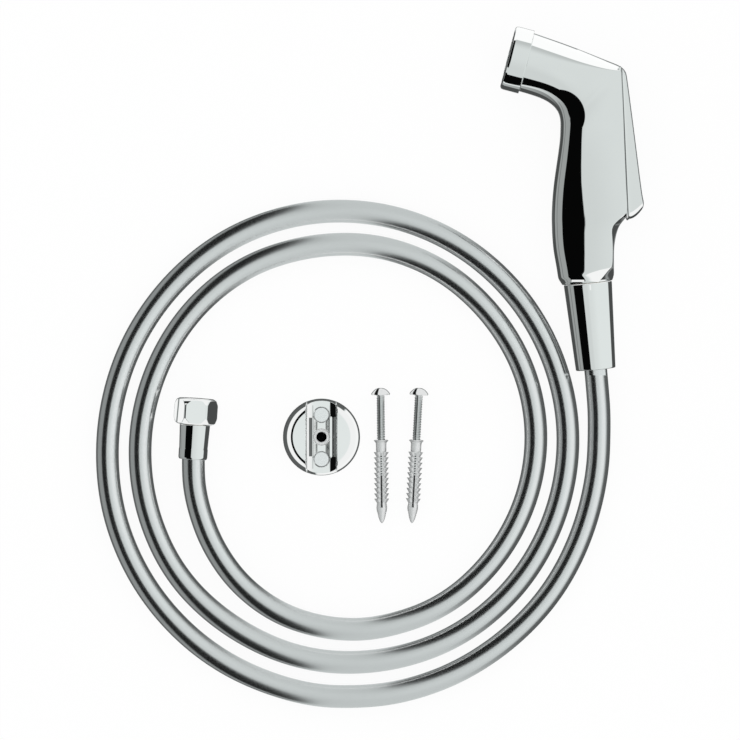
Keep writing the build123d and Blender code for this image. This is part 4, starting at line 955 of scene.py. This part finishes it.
def holder_room(tree):
    """What the wall holder mirrors: pale walls, a black banner, and a dark horizon up and to the left."""
    ray, math, step, mix, both, inside = room_tools(tree)
    level = mix(step(ray.x, 0.0, 0.6), 0.86, 0.97)
    level = mix(both(step(ray.turn, 10.0, 11.5), step(ray.turn, 55.0, 53.0)), level, 0.004)
    level = mix(step(ray.turn, 53.0, 55.0), level, 0.98)
    facing = math("MULTIPLY_ADD", ray.north, 0.42, math("MULTIPLY", ray.east, -0.91))
    level = mix(both(step(facing, -0.34, -0.24), step(ray.z, -0.24, -0.30)), level, 0.115)
    level = mix(both(step(facing, -0.24, -0.34), step(ray.z, -0.2, -0.3)), level, 1.0)
    level = mix(step(ray.z, -0.86, -0.92), level, 0.10)
    for box in HOLDER_BOXES:
        level = mix(both(inside(ray.start, *box), step(ray.flat, 0.14, 0.24)), level, 0.15)
    return level


HEADS_FROM, PLUGS_TO, TURNOVER = 24.6, -1.7, 0.3  # up the plan: heads start, plugs end, and how soon


def screw_room(tree):
    """What the screws and plugs mirror: pale above, black left of that, dark grey beyond the threads."""
    ray, math, step, mix, both, _ = room_tools(tree)
    shank = mix(step(ray.turn, 6.0, 14.0), 0.85, 0.33)
    shank = mix(both(step(ray.turn, 26.0, 30.0), step(ray.turn, 60.0, 54.0)), shank, 0.01)
    shank = mix(both(step(math("ABSOLUTE", ray.north), 0.3, 0.5), step(ray.z, 0.75, 0.55)), shank, 0.06)
    left = math("DIVIDE", math("MULTIPLY", ray.x, -1.0), math("ADD", ray.z, 1.001))
    head = mix(both(step(left, 0.28, 0.34), step(left, 0.95, 0.85)), 0.95, 0.01)
    head = mix(step(ray.z, -0.72, -0.82), head, 0.12)
    plug = mix(step(ray.x, 0.5, -0.6), 0.98, 0.42)
    plug = mix(step(ray.z, 0.0, -0.3), plug, 0.03)
    level = mix(step(ray.start[1], HEADS_FROM, HEADS_FROM + TURNOVER), shank, head)
    return mix(step(ray.start[1], PLUGS_TO, PLUGS_TO - TURNOVER), level, plug)


ROOM_TINT, TINTED, UNTINTED = (0.95, 1.0, 0.99), 0.84, 0.96  # the bright parts of a room lose its tint


def studio(name, grid, room, wrap, outline=None, off_coil=False):
    """A shell that only mirroring surfaces see, glowing as its room says.

    One with an outline shows from inside only, and only to surfaces that stand in the outline's box; off
    the coil, they also stand outside the coiled hose.
    """
    material, tree, output = new_material(name)
    level = room(tree)
    tint = mix_colours(tree, smooth_step(tree, level, TINTED, UNTINTED), ROOM_TINT, (1, 1, 1))
    look = add_node(tree, "Emission", {"Color": tint, "Strength": level})
    if outline:
        ray, _, step, _, both, inside = room_tools(tree)
        own = inside(ray.start, np.min(outline, axis=0), np.max(outline, axis=0))
        if off_coil:
            own = both(own, step(distance(tree, ray.start, COIL_MIDDLE), COIL_REACH, COIL_REACH + 0.5))
        own = both(own, add_node(tree, "NewGeometry").outputs["Backfacing"])
        look = mix_shaders(tree, own, add_node(tree, "BsdfTransparent"), look)
    tree.links.new(look.outputs[0], output.inputs[0])
    shell_piece = skin(name, grid, wrap)
    for ray_kind in ("camera", "diffuse", "shadow", "transmission", "volume_scatter"):
        setattr(shell_piece, f"visible_{ray_kind}", False)
    set_stage(shell_piece, material)


def tent(outline, low, high):
    """A closed tent over a plan outline (counter-clockwise): a floor, its walls and a roof."""
    outline = np.array(outline, float)
    middle = outline.mean(axis=0)
    hub = np.tile(middle, (len(outline), 1))
    sheets = [(hub, low), (outline, low), (outline, high), (hub, high)]
    rows = [np.column_stack([points, np.full(len(points), z)]) for points, z in sheets]
    return np.stack(rows, axis=1)


SHELL_RADIUS = 9000.0
TENT_FLOOR, TENT_ROOF = -60.0, 130.0
lat = np.linspace(-np.pi / 2, np.pi / 2, 40)[:, None]
lon = np.linspace(0, 2 * np.pi, 80, endpoint=False)[None, :]
ball = np.stack([np.cos(lat) * np.cos(lon), np.cos(lat) * np.sin(lon), np.sin(lat) + 0 * lon], axis=-1)
studio("hose_studio", ball * SHELL_RADIUS, hose_room, (False, True))
TENTS = {
    "handset": (chrome_room, [(139, 91.6), (206, 97.6), (206, 262), (96, 262), (96, 196), (139, 170)]),
    "cone_nut": (cone_room, [(141, 37), (206, 37), (206, 97.2), (141, 91.2)]),
    "sleeve": (sleeve_room, [(-96, -13.3), (-58, -13.3), (-58, 7.0), (-96, 7.0)]),
    "hex_nut": (nut_room, [(-95, 7.4), (-58, 7.4), (-58, 31), (-95, 31)]),
    "holder": (holder_room, [(-26, -26), (26, -26), (26, 26), (-26, 26)]),
    "screws": (screw_room, [(28, -56), (68, -56), (68, 32), (28, 32)]),
}
for name, (room, outline) in TENTS.items():
    grid = tent(outline, TENT_FLOOR, TENT_ROOF)
    studio(f"{name}_studio", grid, room, (True, False), outline, off_coil=name in ("handset", "cone_nut"))

world = bpy.data.worlds.new("white_room")
bpy.context.scene.world = world
world.use_nodes = True
background = world.node_tree.nodes["Background"]
background.inputs["Color"].default_value = (1, 1, 1, 1)
background.inputs["Strength"].default_value = 1.0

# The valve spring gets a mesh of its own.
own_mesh(nodes["valve_spring"])

# ======== the hose, hidden from reflections
hose.visible_glossy = False
